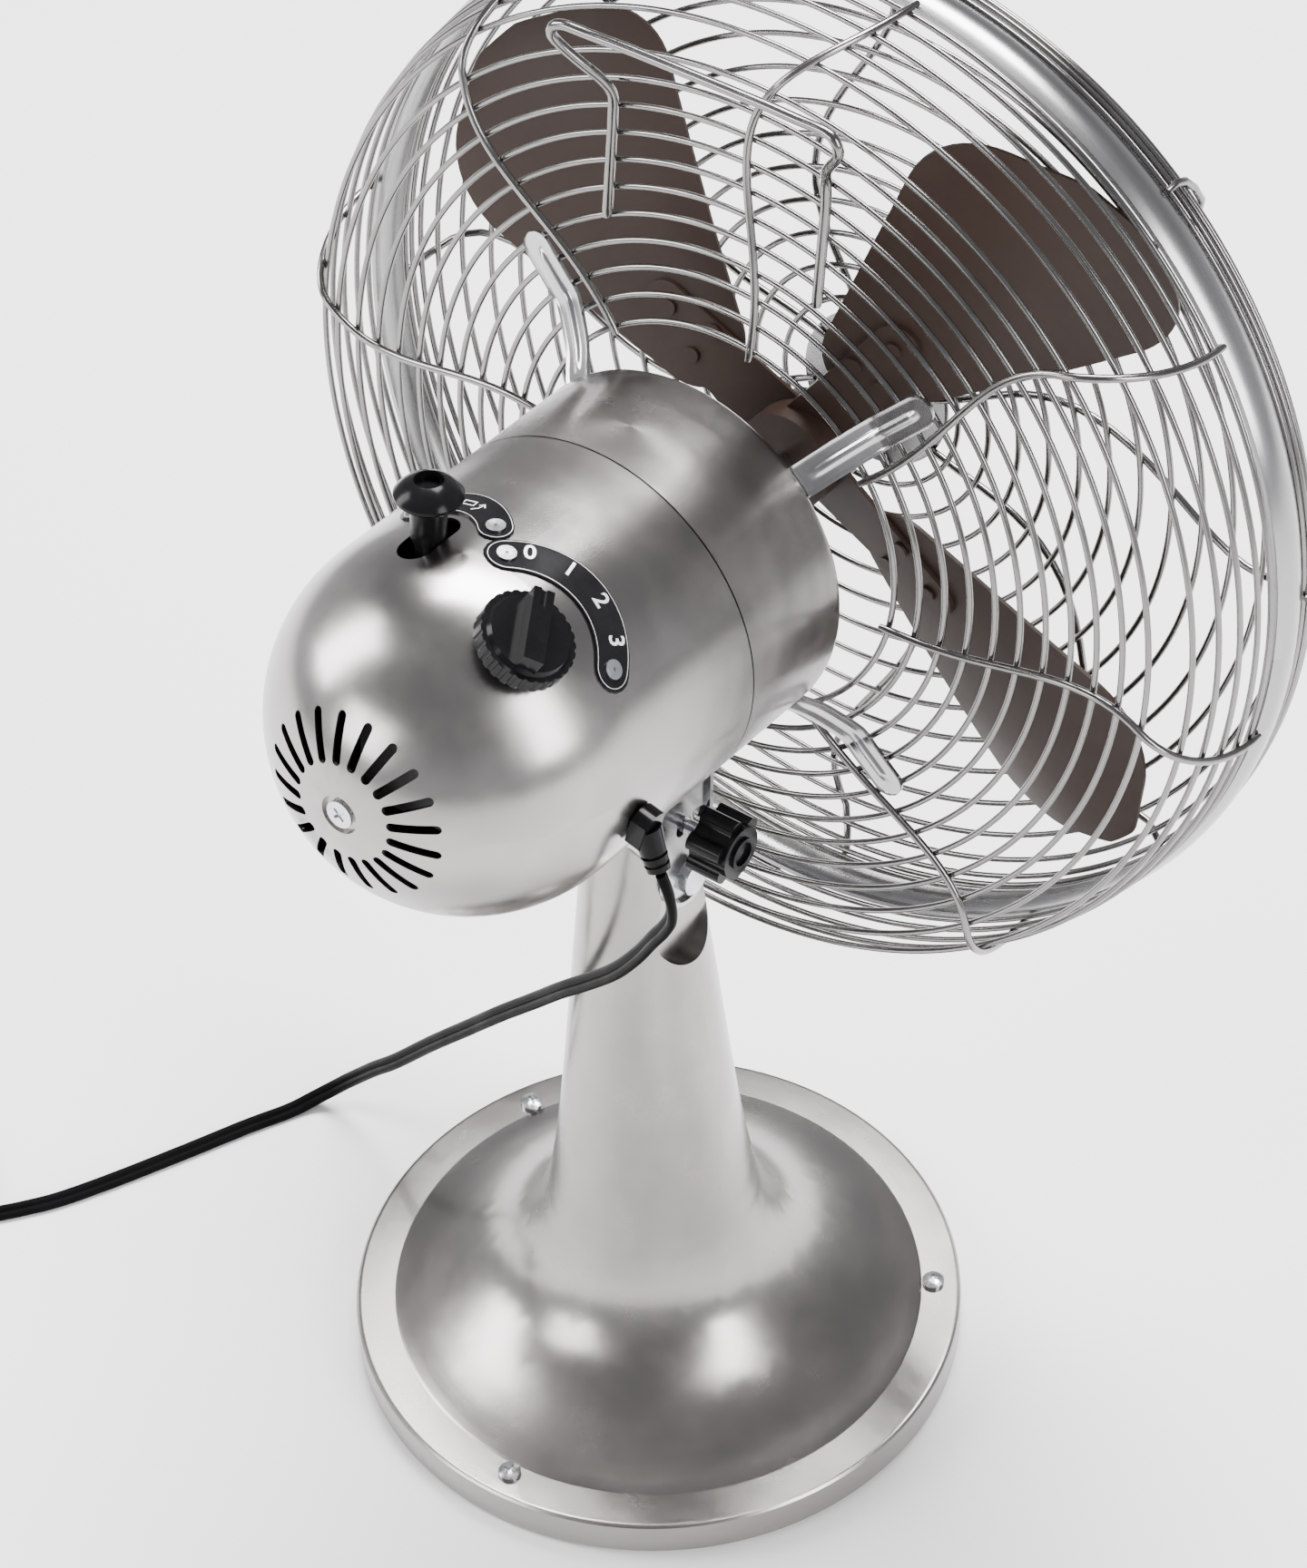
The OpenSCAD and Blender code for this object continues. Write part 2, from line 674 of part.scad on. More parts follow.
// Curved label plates that follow the housing
module on_skin(lift, thick) {
    intersection() {
        along_axis() difference() {
            translate([0, 0, seam_y]) cylinder(r = housing_r + lift + thick, h = 80);
            translate([0, 0, seam_y - 1]) cylinder(r = housing_r + lift, h = 90);
        }
        children();
    }
}

module speed_plate() {
    color(black) difference() {
        on_skin(0.05, 0.7) on_housing(speed_angle - 1, speed_y - 1) translate([0, 0, 30]) linear_extrude(40)
            rotate(-90) arc_slot(32, 12, 46);
        rivet_places() translate([0, 0, 40]) cylinder(d = 2.2, h = 40);
    }
}

module swing_plate() {
    color(black) difference() {
        on_skin(0.05, 0.7) in_head() translate([swing_x, swing_y, 30]) linear_extrude(40)
            rotate(-90) arc_slot(19.5, 11, 47);
        rivet_places() translate([0, 0, 40]) cylinder(d = 2.2, h = 40);
    }
}

module rivet_places() {
    for (side = [-1, 1]) on_housing(speed_angle - 1 + side * 21.6, speed_y - 1 - 32 * cos(46)) children();
    for (side = [-1, 1]) on_housing(-asin((swing_x + side * 19.5 * sin(47)) / housing_r), swing_y - 19.5 * cos(47)) children();
}

module plate_rivets() {
    color(zinc) rivet_places() difference() {
        union() {
            translate([0, 0, housing_r - 3]) cylinder(d = 2.2, h = 4.5);
            translate([0, 0, housing_r + 0.8]) cylinder(d = 6, h = 0.7);
        }
        translate([0, 0, housing_r]) cylinder(d = 1.2, h = 4);
    }
}

// Where the gland's sleeve starts, dipping from the housing's radius
module gland_sleeve() {
    translate([0, 0, housing_r + 3.6]) rotate([0, -gland_dip, 0]) children();
}

module cord_gland() {
    color(black) on_housing(gland_angle, gland_y) difference() {
        union() {
            translate([0, 0, housing_r - 5]) cylinder(d = 9.2, h = 8);
            translate([0, 0, housing_r + 0.4]) intersection() {
                cylinder(d = 13.5, h = 5.4);
                translate([-7, -5, 0]) cube([14, 10, 6]);
            }
            gland_sleeve() cylinder(d1 = 9.6, d2 = 7.6, h = gland_len);
        }
        gland_sleeve() for (k = [1:2]) translate([0, 0, gland_len - 3 * k]) difference() {
            cylinder(d = 14, h = 1.1);
            translate([0, 0, -1]) cylinder(d = 6.8, h = 4);
        }
    }
}

// ---- controls ----
module speed_knob() {
    knob_r = speed_knob_d / 2;
    color(black) on_housing(speed_angle, speed_y) difference() {
        union() {
            translate([0, 0, housing_r + 1.4]) cylinder(r = knob_r, h = 5.5);
            translate([0, 0, housing_r + 6]) cylinder(r1 = knob_r - 1.2, r2 = knob_r - 2.6, h = 2.4);
            rotate(speed_off) translate([-knob_r + 2.6, -3.2, housing_r + 6]) cube([2 * knob_r - 5.2, 6.4, 8]);
            translate([0, 0, 32]) cylinder(d = 5, h = housing_r - 28);
        }
        for (k = [0:27]) rotate(360 / 28 * k) translate([knob_r + 0.5, 0, housing_r]) cylinder(r = 1, h = 8, $fn = 16);
        rotate(speed_off) translate([knob_r - 8.6, -0.8, housing_r + 13.2]) cube([7, 1.6, 4]);
    }
}

module swing_knob() {
    cap_r = swing_knob_d / 2;
    color(black) in_head() translate([swing_x, swing_y, housing_r]) difference() {
        union() {
            translate([0, 0, -12]) cylinder(d = 8.4, h = 22);
            translate([0, 0, -2]) cylinder(d1 = swing_boss_d, d2 = swing_boss_d + 1, h = 13);
            translate([0, 0, 14]) intersection() {
                scale(1) translate([0, 0, -7]) sphere(12.6);
                translate([0, 0, -5]) cylinder(r = cap_r, h = 10);
                translate([0, 0, 8]) sphere(13.8);
            }
            translate([0, 0, -39]) cylinder(d = 3, h = 29);
        }
        translate([0, 0, 15.4]) cylinder(d = 9, h = 6);
    }
}

// ---- swing gears ----
module worm_wheel() {
    color([0.80, 0.70, 0.45]) in_head() translate([swing_x, swing_y, 0]) {
        translate([0, 0, -5]) linear_extrude(10) {
            circle(wheel_r - 1);
            for (k = [0:wheel_teeth - 1]) rotate(360 / wheel_teeth * k)
                polygon([[wheel_r - 1.2, -0.55], [wheel_r, -0.3], [wheel_r, 0.3], [wheel_r - 1.2, 0.55]]);
        }
        translate([0, 0, gear_z - 3]) cylinder(d = 3.6, h = -gear_z + 3);
        translate([0, 0, 5]) cylinder(d = 4, h = case_top - 5 + 0.5);
        translate([0, 0, gear_z]) rotate(180 - crank_turn) gear(pinion_teeth, gear_h);
    }
}

module crank_gear() {
    color(zinc) in_head() translate([0, crank_y, 0]) {
        translate([0, 0, gear_z]) rotate(180 / crank_teeth - crank_turn) gear(crank_teeth, gear_h);
        translate([0, 0, link_z + link_t + 2.4]) cylinder(d = 6, h = gear_z - link_z - link_t - 2.4);
        translate([0, 0, link_z + link_t + 2.4]) cylinder(r = crank_r + 3.4, h = 2.2);
        translate([crank_r, 0, link_z + link_t + 0.5]) cylinder(d = 3, h = 2.4);
    }
}

// ---- rotor ----
module motor_shaft() {
    worm_len = 16;
    color(zinc) along_axis() {
        translate([0, 0, -blade_y - 15]) cylinder(d = shaft_d, h = blade_y + 15 + case_front + 6);
        translate([0, 0, case_front + 5]) cylinder(d = 5.2, h = swing_y + 9 - case_front - 5);
        for (k = [0:6]) translate([0, 0, swing_y - worm_len / 2 + 2.2 * k]) cylinder(r1 = 2.6, r2 = worm_r, h = 0.8);
        for (k = [0:6]) translate([0, 0, swing_y - worm_len / 2 + 0.8 + 2.2 * k]) cylinder(r1 = worm_r, r2 = 2.6, h = 0.8);
    }
}

module rotor_core() {
    color([0.55, 0.55, 0.56]) along_axis() translate([0, 0, -8]) difference() {
        cylinder(r = 23.5, h = 24);
        translate([0, 0, -1]) cylinder(d = shaft_d, h = 30);
    }
}

// Blade frame: +Z along the blade from the shaft, X across it, Y through it, pitched
module at_blade(k) {
    in_head() translate([0, -blade_y, 0]) rotate([0, -blade_phase + 90 * k, 0]) rotate([0, 0, blade_pitch])
        children();
}

// A curved sheet across X, hollow towards the front, its front face at y = front on the blade's middle line
module bent_sheet(front, thick) {
    translate([0, front + thick - blade_camber, 0]) difference() {
        cylinder(r = blade_camber, h = blade_d);
        translate([0, 0, -1]) cylinder(r = blade_camber - thick, h = blade_d + 2);
    }
}

module blade_outline() {
    tip = blade_d / 2;
    intersection() {
        hull() {
            translate([1, tip - 38]) circle(31);
            translate([-16, tip - 30]) circle(30);
            translate([-36, tip - 35]) circle(24);
            translate([1, blade_root + 16]) circle(18);
        }
        circle(tip);
    }
}

module rivet_spots() {
    for (spot = [[-6, blade_root + 12], [6, blade_root + 12], [0, blade_root + 28]])
        translate([spot[0], 0, spot[1]]) rotate([90, 0, 0]) children();
}

module blade(k) {
    color(brown) at_blade(k) difference() {
        intersection() {
            bent_sheet(0, blade_t);
            translate([0, 20, 0]) rotate([90, 0, 0]) linear_extrude(40) blade_outline();
        }
        rivet_spots() cylinder(d = 3, h = 30, center = true);
    }
}
module blade_1() { blade(0); }
module blade_2() { blade(1); }
module blade_3() { blade(2); }
module blade_4() { blade(3); }

module arm_shape() {
    hull() {
        translate([0, 8]) circle(13);
        translate([0, blade_root + 30]) circle(7.5);
    }
}

module fan_hub() {
    color([0.42, 0.34, 0.30]) difference() {
        union() {
            along_axis() translate([0, 0, -hub_rear_y - 17]) cylinder(r = hub_r, h = 19);
            for (k = [0:3]) at_blade(k) intersection() {
                bent_sheet(blade_t + 0.05, 1.6);
                translate([0, 20, 0]) rotate([90, 0, 0]) linear_extrude(40) arm_shape();
            }
        }
        along_axis() translate([0, 0, -blade_y - 40]) cylinder(d = shaft_d, h = 80);
        for (k = [0:3]) at_blade(k) rivet_spots() cylinder(d = 3, h = 30, center = true);
    }
}

module blade_plates() {
    color(brown) for (k = [0:3]) at_blade(k) difference() {
        intersection() {
            bent_sheet(-1.05, 1);
            translate([0, 20, 0]) rotate([90, 0, 0]) linear_extrude(40) hull() {
                translate([0, blade_root + 8]) circle(11);
                translate([0, blade_root + 30]) circle(6);
            }
        }
        rivet_spots() cylinder(d = 3, h = 30, center = true);
    }
}

module blade_rivets() {
    color(brown) for (k = [0:3]) at_blade(k) rivet_spots() {
        translate([0, 0, -3.6]) cylinder(d = 3, h = 5.4);
        translate([0, 0, -4]) cylinder(d = 5.6, h = 0.9);
        translate([0, 0, 1.3]) cylinder(d = 5.6, h = 1.1);
    }
}

module hub_cap() {
    color(black) along_axis() translate([0, 0, -blade_y - 17]) difference() {
        translate([0, 0, -3]) cylinder(r = 11, h = 11.5);
        cylinder(d = shaft_d + 0.2, h = 20);
    }
}

// ---- guard ----
// Depth of the rear guard's surface in front of the swivel axis, at radius r
function rear_depth(r) =
    r < guard_r - rear_corner_w
    ? lerp(rear_face_y - 7, rear_face_y, sqrt(max(0, (r - 58) / (guard_r - rear_corner_w - 58))))
    : rear_face_y + rear_corner_d * (1 - sqrt(max(0, 1 - pow((r - guard_r + rear_corner_w) / rear_corner_w, 2.2))));
// Radius of a point of the rear corner, by its share t of the turn
function rear_corner(t) = guard_r - rear_corner_w + rear_corner_w * pow(sin(90 * t), 0.9);
// Turn of an S-shaped wire, towards +X, at share q of the way out
function spoke_bend(q) = spoke_sweep * q * (q + 0.12) * (0.99 - q);

module rear_face_rings() {
    color(wire) for (k = [0:rear_rings - 1]) let (r = first_ring + ring_pitch * k) torus(r, -rear_depth(r), ring_d);
}

module rear_side_rings() {
    color(wire) for (t = [0.36, 0.55, 0.70, 0.83, 0.93]) let (r = rear_corner(t)) torus(r, -rear_depth(r), ring_d);
}

module rear_guard_wires() {
    lift = (ring_d + spoke_d) / 2 - 0.35;
    start = first_ring - 2.4;
    color(wire) for (k = [0:spoke_count - 1]) in_head() rod([
        for (i = [0:20]) let (
            t = i / 20,
            r = i < 14 ? lerp(start, guard_r - rear_corner_w, i / 14) : rear_corner((i - 14) / 6 * 0.985),
            slope = (rear_depth(r + 0.05) - rear_depth(r - 0.05)) / 0.1,
            n = unit([slope, 1]),
            turn = spoke_turn + 45 * k - spoke_bend((r - start) / (guard_r - start)))
        [-(r + lift * n[0]) * sin(turn), -rear_depth(r) + lift * n[1], (r + lift * n[0]) * cos(turn)]
    ], spoke_d, spoke_d, 8, [0, 1, 0.01]);
}

module bracket_place(k) { in_head() rotate([0, 45 + 90 * k, 0]) children(); }

module guard_brackets() {
    y_in = -drum_front - 0.1;
    y_out = -rear_face_y + 6;
    color(metal) for (k = [0:3]) bracket_place(k) difference() {
        rotate([90, 0, 90]) {
            translate([0, 0, -bracket_w / 2]) linear_extrude(bracket_w) polygon([
                [y_in, 46], [y_in, 60], [y_in - 9, 70], [y_out, 84], [y_out - 1.5, bracket_r], [y_out - 4.4, bracket_r + 0.6],
                [y_out - 4.4, bracket_r - 0.6], [y_out - 2.6, bracket_r - 1.2], [y_out - 1.3, 84],
                [y_in - 10.2, 71], [y_in - 1.3, 60.8], [y_in - 1.3, 46]]);
            translate([0, 0, -1.6]) linear_extrude(3.2) polygon([
                [y_in - 1, 62], [y_in - 8, 70.8], [y_out + 0.9, 84], [y_out - 0.4, bracket_r - 6],
                [y_out - 1.6, bracket_r - 6], [y_out - 1, 84], [y_in - 9.6, 70.6]]);
        }
        translate([0, y_in + 3, 53]) rotate([90, 0, 0]) cylinder(d = 3.2, h = 8);
    }
}

module bracket_screws() {
    color(zinc) for (k = [0:3]) bracket_place(k) translate([0, -drum_front - 1.4, 53]) rotate([90, 0, 0]) {
        cylinder(d = 6, h = 1.8);
        translate([0, 0, -3]) cylinder(d = 3, h = 4);
    }
}

module carry_handle() {
    leg = handle_w / 2;
    y0 = -rear_face_y + 4.2;
    grip_y = y0 + 14;
    grip_z = 163;
    half = [
        [leg, y0 + 0.5, 93], [leg, y0 + 0.1, 104], [leg, y0 - 0.4, 116], [leg, y0 - 0.8, 128], [leg, y0 - 0.2, 136],
        [leg + 2, y0 + 3, 142], [leg + 6, y0 + 7.5, 148], [leg + 10.5, y0 + 11.5, 154],
        [leg + 12.6, grip_y, 158.4], [leg + 11.6, grip_y + 0.6, 162], [leg + 8, grip_y + 0.4, 163.6],
        [leg - 2, grip_y, grip_z + 0.6], [leg - 18, grip_y, grip_z + 1]
    ];
    last = len(half) - 1;
    color(wire) in_head() translate([handle_x, 0, 0]) rod(concat(
        [for (i = [0:last]) [-half[i][0], half[i][1], half[i][2]]],
        [for (i = [last:-1:0]) half[i]]
    ), handle_d, handle_d, 10, [0, 1, 0]);
}

module rim_band() {
    color(metal) along_axis() translate([0, 0, -band_y]) rotate_extrude() intersection() {
        translate([guard_r + 3 - band_bulge, 0]) difference() {
            circle(band_bulge);
            circle(band_bulge - 1.3);
        }
        translate([guard_r - 6, -band_w / 2]) square([12, band_w]);
    }
}

function front_depth(r) = lerp(front_y, front_face_y, pow(r / front_corner_r, 2));

module front_side_rings() {
    color(wire) for (spot = [
        [guard_r + 0.5, band_y + 8.5], [guard_r + 0.9, band_y + 11.2], [guard_r + 0.4, band_y + 14],
        [guard_r - 1.2, band_y + 17], [guard_r - 5, band_y + 21.5]]) torus(spot[0], -spot[1], ring_d);
}

module front_face_rings() {
    color(wire) for (k = [0:front_rings - 1])
        let (r = front_corner_r - (front_corner_r - medal_d / 2 - 6) * k / (front_rings - 1))
        torus(r, -front_depth(r), ring_d);
}

module front_guard_wires() {
    lift = (ring_d + spoke_d) / 2 - 0.35;
    color(wire) for (k = [0:spoke_count - 1]) in_head() rod([
        for (spot = concat(
            [[guard_r + lift + 0.4, band_y + 6.6], [guard_r + lift + 0.9, band_y + 11.2], [guard_r + lift - 0.2, band_y + 16],
             [guard_r + lift - 3.6, band_y + 21.6], [guard_r - 7, band_y + 25.4 + lift]],
            [for (i = [0:11]) let (r = lerp(front_corner_r, medal_d / 2 - 4, i / 11)) [r, front_depth(r) + lift]]))
        let (q = spot[0] / guard_r, turn = 34 + 45 * k - spoke_turn * 1.2 * sin(360 * (q - 0.1)))
        [-spot[0] * sin(turn), -spot[1], spot[0] * cos(turn)]
    ], spoke_d, spoke_d, 8, [0, 1, 0.01]);
}

module medallion() {
    r = medal_d / 2;
    color(metal) along_axis() translate([0, 0, -front_y]) rotate_extrude() polygon([
        [0, -7], [r * 0.55, -6.4], [r * 0.57, -5.6], [r * 0.72, -5.4], [r * 0.74, -6.2], [r * 0.9, -5.4], [r, -3.4],
        [r, -2.6], [r - 1, -2.4], [0, -2.4]
    ]);
}

module rim_clamp() {
    color(zinc) in_head() rotate([0, 178, 0]) translate([0, -band_y, guard_r + 4]) {
        cube([16, 11, 1.6], center = true);
        translate([0, 0, 0.7]) cylinder(d = 6.5, h = 2);
    }
}

// ---- cord ----
module power_cord() {
    last = len(cord_route) - 1;
    color(black) rod([for (i = [last:-1:0]) cord_route[i]], cord_w, cord_t, 10, [1, 0, 0]);
}

module cord_coil_and_plug() {
    tail_y = coil_mean_r + coil_build / 2 - cord_w;
    color(black) translate(coil_at) {
        rotate_extrude() translate([coil_mean_r - coil_build / 2, 0]) square([coil_build, coil_h]);
        translate([0, tail_y, 0.1]) cube([50, cord_w, cord_t]);
        translate([34, tail_y + cord_w / 2, 5.2]) rotate([0, 90, 0]) cylinder(d1 = 7, d2 = 10, h = 20);
        translate([52, tail_y + cord_w / 2 - 11, 0]) cube([26, 22, 16]);
        for (y = [-6.35, 6.35]) translate([77, tail_y + cord_w / 2 + y - 0.75, 5]) cube([17, 1.5, 6.3]);
    }
}

base_shell();
base_plate();
base_weight();
base_pad();
base_screws();
base_nuts();
pivot_bolt();
pivot_nut();
pivot_washers();
lock_stud();
tilt_knob();
tilt_bracket();
swivel_spindle();
spindle_clip();
link_anchor_pin();
swing_link();
swivel_neck();
motor_cover();
rear_cover();
cover_screw();
stator_core();
windings();
front_bearing_plate();
rear_bearing_plate();
motor_bolts();
capacitor();
gearbox_housing();
speed_switch();
speed_plate();
swing_plate();
plate_rivets();
cord_gland();
speed_knob();
swing_knob();
worm_wheel();
crank_gear();
motor_shaft();
rotor_core();
fan_hub();
blade_1();
blade_2();
blade_3();
blade_4();
blade_plates();
blade_rivets();
hub_cap();
rear_face_rings();
rear_side_rings();
rear_guard_wires();
guard_brackets();
bracket_screws();
carry_handle();
rim_band();
front_side_rings();
front_face_rings();
front_guard_wires();
medallion();
rim_clamp();
power_cord();
cord_coil_and_plug();
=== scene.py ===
"""Oscillating desk fan: materials, wires, cord, controls, light and camera over the CAD frame."""
import logging
import math
from dataclasses import dataclass, field
from enum import Enum
from typing import Callable, Sequence

import bmesh
import bpy
from mathutils import Matrix, Vector


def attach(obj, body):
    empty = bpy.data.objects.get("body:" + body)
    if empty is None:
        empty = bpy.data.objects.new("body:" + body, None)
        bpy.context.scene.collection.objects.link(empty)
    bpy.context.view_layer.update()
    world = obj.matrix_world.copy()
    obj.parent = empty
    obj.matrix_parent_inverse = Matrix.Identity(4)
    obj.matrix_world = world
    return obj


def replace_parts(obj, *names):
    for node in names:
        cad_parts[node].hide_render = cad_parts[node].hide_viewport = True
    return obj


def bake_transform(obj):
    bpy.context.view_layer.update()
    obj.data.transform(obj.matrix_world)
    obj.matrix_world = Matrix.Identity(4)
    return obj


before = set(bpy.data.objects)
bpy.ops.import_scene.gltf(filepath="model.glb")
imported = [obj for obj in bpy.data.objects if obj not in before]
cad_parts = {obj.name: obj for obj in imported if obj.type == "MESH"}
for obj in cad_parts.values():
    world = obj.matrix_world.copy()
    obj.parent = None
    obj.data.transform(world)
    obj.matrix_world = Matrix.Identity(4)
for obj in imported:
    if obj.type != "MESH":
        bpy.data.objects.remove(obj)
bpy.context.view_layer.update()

NODES: dict[str, bpy.types.Object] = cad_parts
log = logging.getLogger("desk_fan")

Point = tuple[float, float, float]
MM = 0.001


class Axis(Enum):
    """The straight line that a finish's turning or brushing marks go round."""

    COLUMN = "column"
    MOTOR = "motor"


@dataclass(frozen=True)
class HeadPose:
    """Where the motor head stands at rest: its tilt and the crossing of its two axes."""

    tilt_deg: float = 6.0
    pivot_z: float = 0.235
    swivel_y: float = 0.012
    axis_h: float = 0.1145

    @property
    def matrix(self) -> Matrix:
        """Returns the matrix from head coordinates (y to the rear, z up) to the row frame."""
        return (
            Matrix.Translation((0, 0, self.pivot_z))
            @ Matrix.Rotation(math.radians(self.tilt_deg), 4, "X")
            @ Matrix.Translation((0, self.swivel_y, self.axis_h))
        )


HEAD = HeadPose()


# ---------------------------------------------------------------- node groups


@dataclass(frozen=True)
class Socket:
    """One named input or output of a shader node group."""

    name: str
    kind: str
    default: float | None = None
    out: bool = False


class NodeGroup:
    """A shader node group that is built once and placed in many materials."""

    title = "group"
    sockets: tuple[Socket, ...] = ()
    _made: dict[str, bpy.types.NodeTree] = {}

    @classmethod
    def tree(cls) -> bpy.types.NodeTree:
        """Builds the group the first time and returns it."""
        if cls.title not in NodeGroup._made:
            tree = bpy.data.node_groups.new(cls.title, "ShaderNodeTree")
            for sock in cls.sockets:
                made = tree.interface.new_socket(
                    sock.name, in_out="OUTPUT" if sock.out else "INPUT", socket_type=sock.kind)
                if sock.default is not None:
                    made.default_value = sock.default
            cls.fill(Wiring(tree))
            NodeGroup._made[cls.title] = tree
        return NodeGroup._made[cls.title]

    @classmethod
    def fill(cls, w: "Wiring") -> None:
        """Adds the group's nodes; each kind of group has its own."""
        raise NotImplementedError


class Wiring:
    """Adds and links nodes of one tree in few words."""

    def __init__(self, tree: bpy.types.NodeTree) -> None:
        """Keeps the tree and gives it its input and output nodes when it is a group."""
        self.tree = tree
        if tree.bl_idname == "ShaderNodeTree" and tree.interface.items_tree:
            self.ins = tree.nodes.new("NodeGroupInput")
            self.outs = tree.nodes.new("NodeGroupOutput")

    def node(self, kind: str, **settings: object) -> bpy.types.Node:
        """Adds a node.

        Args:
            kind: The node's type name without "ShaderNode".
            **settings: Properties of the node, such as operation.

        Returns:
            The new node.
        """
        made = self.tree.nodes.new("ShaderNode" + kind)
        for key, value in settings.items():
            setattr(made, key, value)
        return made

    def link(self, source: bpy.types.NodeSocket, target: bpy.types.NodeSocket) -> None:
        """Joins two sockets."""
        self.tree.links.new(source, target)

    def feed(self, target: bpy.types.NodeSocket, value: object) -> None:
        """Links a socket, or sets a plain number or colour, into target."""
        if isinstance(value, bpy.types.NodeSocket):
            self.link(value, target)
        else:
            target.default_value = value

    def math(self, operation: str, a: object, b: object = 0.0) -> bpy.types.NodeSocket:
        """Adds a Math node on a and b and returns its result."""
        made = self.node("Math", operation=operation)
        self.feed(made.inputs[0], a)
        self.feed(made.inputs[1], b)
        return made.outputs[0]

    def noise(self, vector: bpy.types.NodeSocket, scale: object, detail: float,
              rough: float = 0.5) -> bpy.types.NodeSocket:
        """Adds a Noise node on vector and returns its value."""
        made = self.node("TexNoise")
        self.link(vector, made.inputs["Vector"])
        self.feed(made.inputs["Scale"], scale)
        made.inputs["Detail"].default_value = detail
        made.inputs["Roughness"].default_value = rough
        return made.outputs["Fac"]

    def ramp(self, value: bpy.types.NodeSocket, low: float, high: float,
             to_low: float = 0.0, to_high: float = 1.0) -> bpy.types.NodeSocket:
        """Maps value from low..high to to_low..to_high, clamped, and returns the result."""
        made = self.node("MapRange")
        self.link(value, made.inputs["Value"])
        for name, number in zip(("From Min", "From Max", "To Min", "To Max"), (low, high, to_low, to_high)):
            made.inputs[name].default_value = number
        return made.outputs["Result"]

    def mix(self, share: bpy.types.NodeSocket, a: Sequence[float],
            b: Sequence[float]) -> bpy.types.NodeSocket:
        """Mixes two colours by share and returns the colour."""
        made = self.node("Mix", data_type="RGBA")
        self.link(share, made.inputs["Factor"])
        made.inputs["A"].default_value = (*a, 1.0)
        made.inputs["B"].default_value = (*b, 1.0)
        return made.outputs["Result"]

    def group(self, kind: type[NodeGroup], **values: object) -> bpy.types.Node:
        """Places a node group and feeds its inputs by name, with underscores for spaces."""
        made = self.node("Group")
        made.node_tree = kind.tree()
        for name, value in values.items():
            self.feed(made.inputs[name.replace("_", " ")], value)
        return made


class TurnedMarks(NodeGroup):
    """Fine lines round local Z, as spinning and brushing leave them, with soft streaks and smears."""

    title = "turned_marks"
    sockets = (
        Socket("Vector", "NodeSocketVector"),
        Socket("Lines", "NodeSocketFloat", 1400.0),
        Socket("Streaks", "NodeSocketFloat", 60.0),
        Socket("Height", "NodeSocketFloat", out=True),
        Socket("Streak Mask", "NodeSocketFloat", out=True),
        Socket("Smear Mask", "NodeSocketFloat", out=True),
    )

    @classmethod
    def fill(cls, w: Wiring) -> None:
        """Adds the group's nodes."""
        parts = w.node("SeparateXYZ")
        w.link(w.ins.outputs["Vector"], parts.inputs[0])
        x, y, z = parts.outputs
        radius = w.math("SQRT", w.math("ADD", w.math("MULTIPLY", x, x), w.math("MULTIPLY", y, y)))
        turn = w.math("ARCTAN2", y, x)

        def drawn_round(density: str, twist: float, detail: float, rough: float) -> bpy.types.NodeSocket:
            """Returns noise that is drawn out round the axis, as fine as the named input says."""
            at = w.node("CombineXYZ")
            per_metre = w.ins.outputs[density]
            w.link(w.math("MULTIPLY", radius, per_metre), at.inputs[0])
            w.link(w.math("MULTIPLY", z, per_metre), at.inputs[1])
            w.link(w.math("MULTIPLY", turn, twist), at.inputs[2])
            return w.noise(at.outputs[0], 1.0, detail, rough)

        w.link(drawn_round("Lines", 1.3, 2.0, 0.6), w.outs.inputs["Height"])
        streak = drawn_round("Streaks", 2.2, 4.0, 0.55)
        w.link(w.ramp(streak, 0.35, 0.68), w.outs.inputs["Streak Mask"])
        smear = w.noise(w.ins.outputs["Vector"], 7.0, 2.0, 0.5)
        w.link(w.ramp(smear, 0.22, 0.82), w.outs.inputs["Smear Mask"])


class FineGrain(NodeGroup):
    """Small even grain with broad cloudiness, for lacquer, plastic, rubber and castings."""

    title = "fine_grain"
    sockets = (
        Socket("Vector", "NodeSocketVector"),
        Socket("Grain", "NodeSocketFloat", 900.0),
        Socket("Clouds", "NodeSocketFloat", 18.0),
        Socket("Height", "NodeSocketFloat", out=True),
        Socket("Grain Mask", "NodeSocketFloat", out=True),
        Socket("Cloud Mask", "NodeSocketFloat", out=True),
    )

    @classmethod
    def fill(cls, w: Wiring) -> None:
        """Adds the group's nodes."""
        vector = w.ins.outputs["Vector"]
        grain = w.noise(vector, w.ins.outputs["Grain"], 3.0, 0.55)
        w.link(grain, w.outs.inputs["Height"])
        w.link(w.ramp(grain, 0.35, 0.70), w.outs.inputs["Grain Mask"])
        clouds = w.noise(vector, w.ins.outputs["Clouds"], 4.0, 0.6)
        w.link(w.ramp(clouds, 0.36, 0.66), w.outs.inputs["Cloud Mask"])


# ---------------------------------------------------------------- finishes


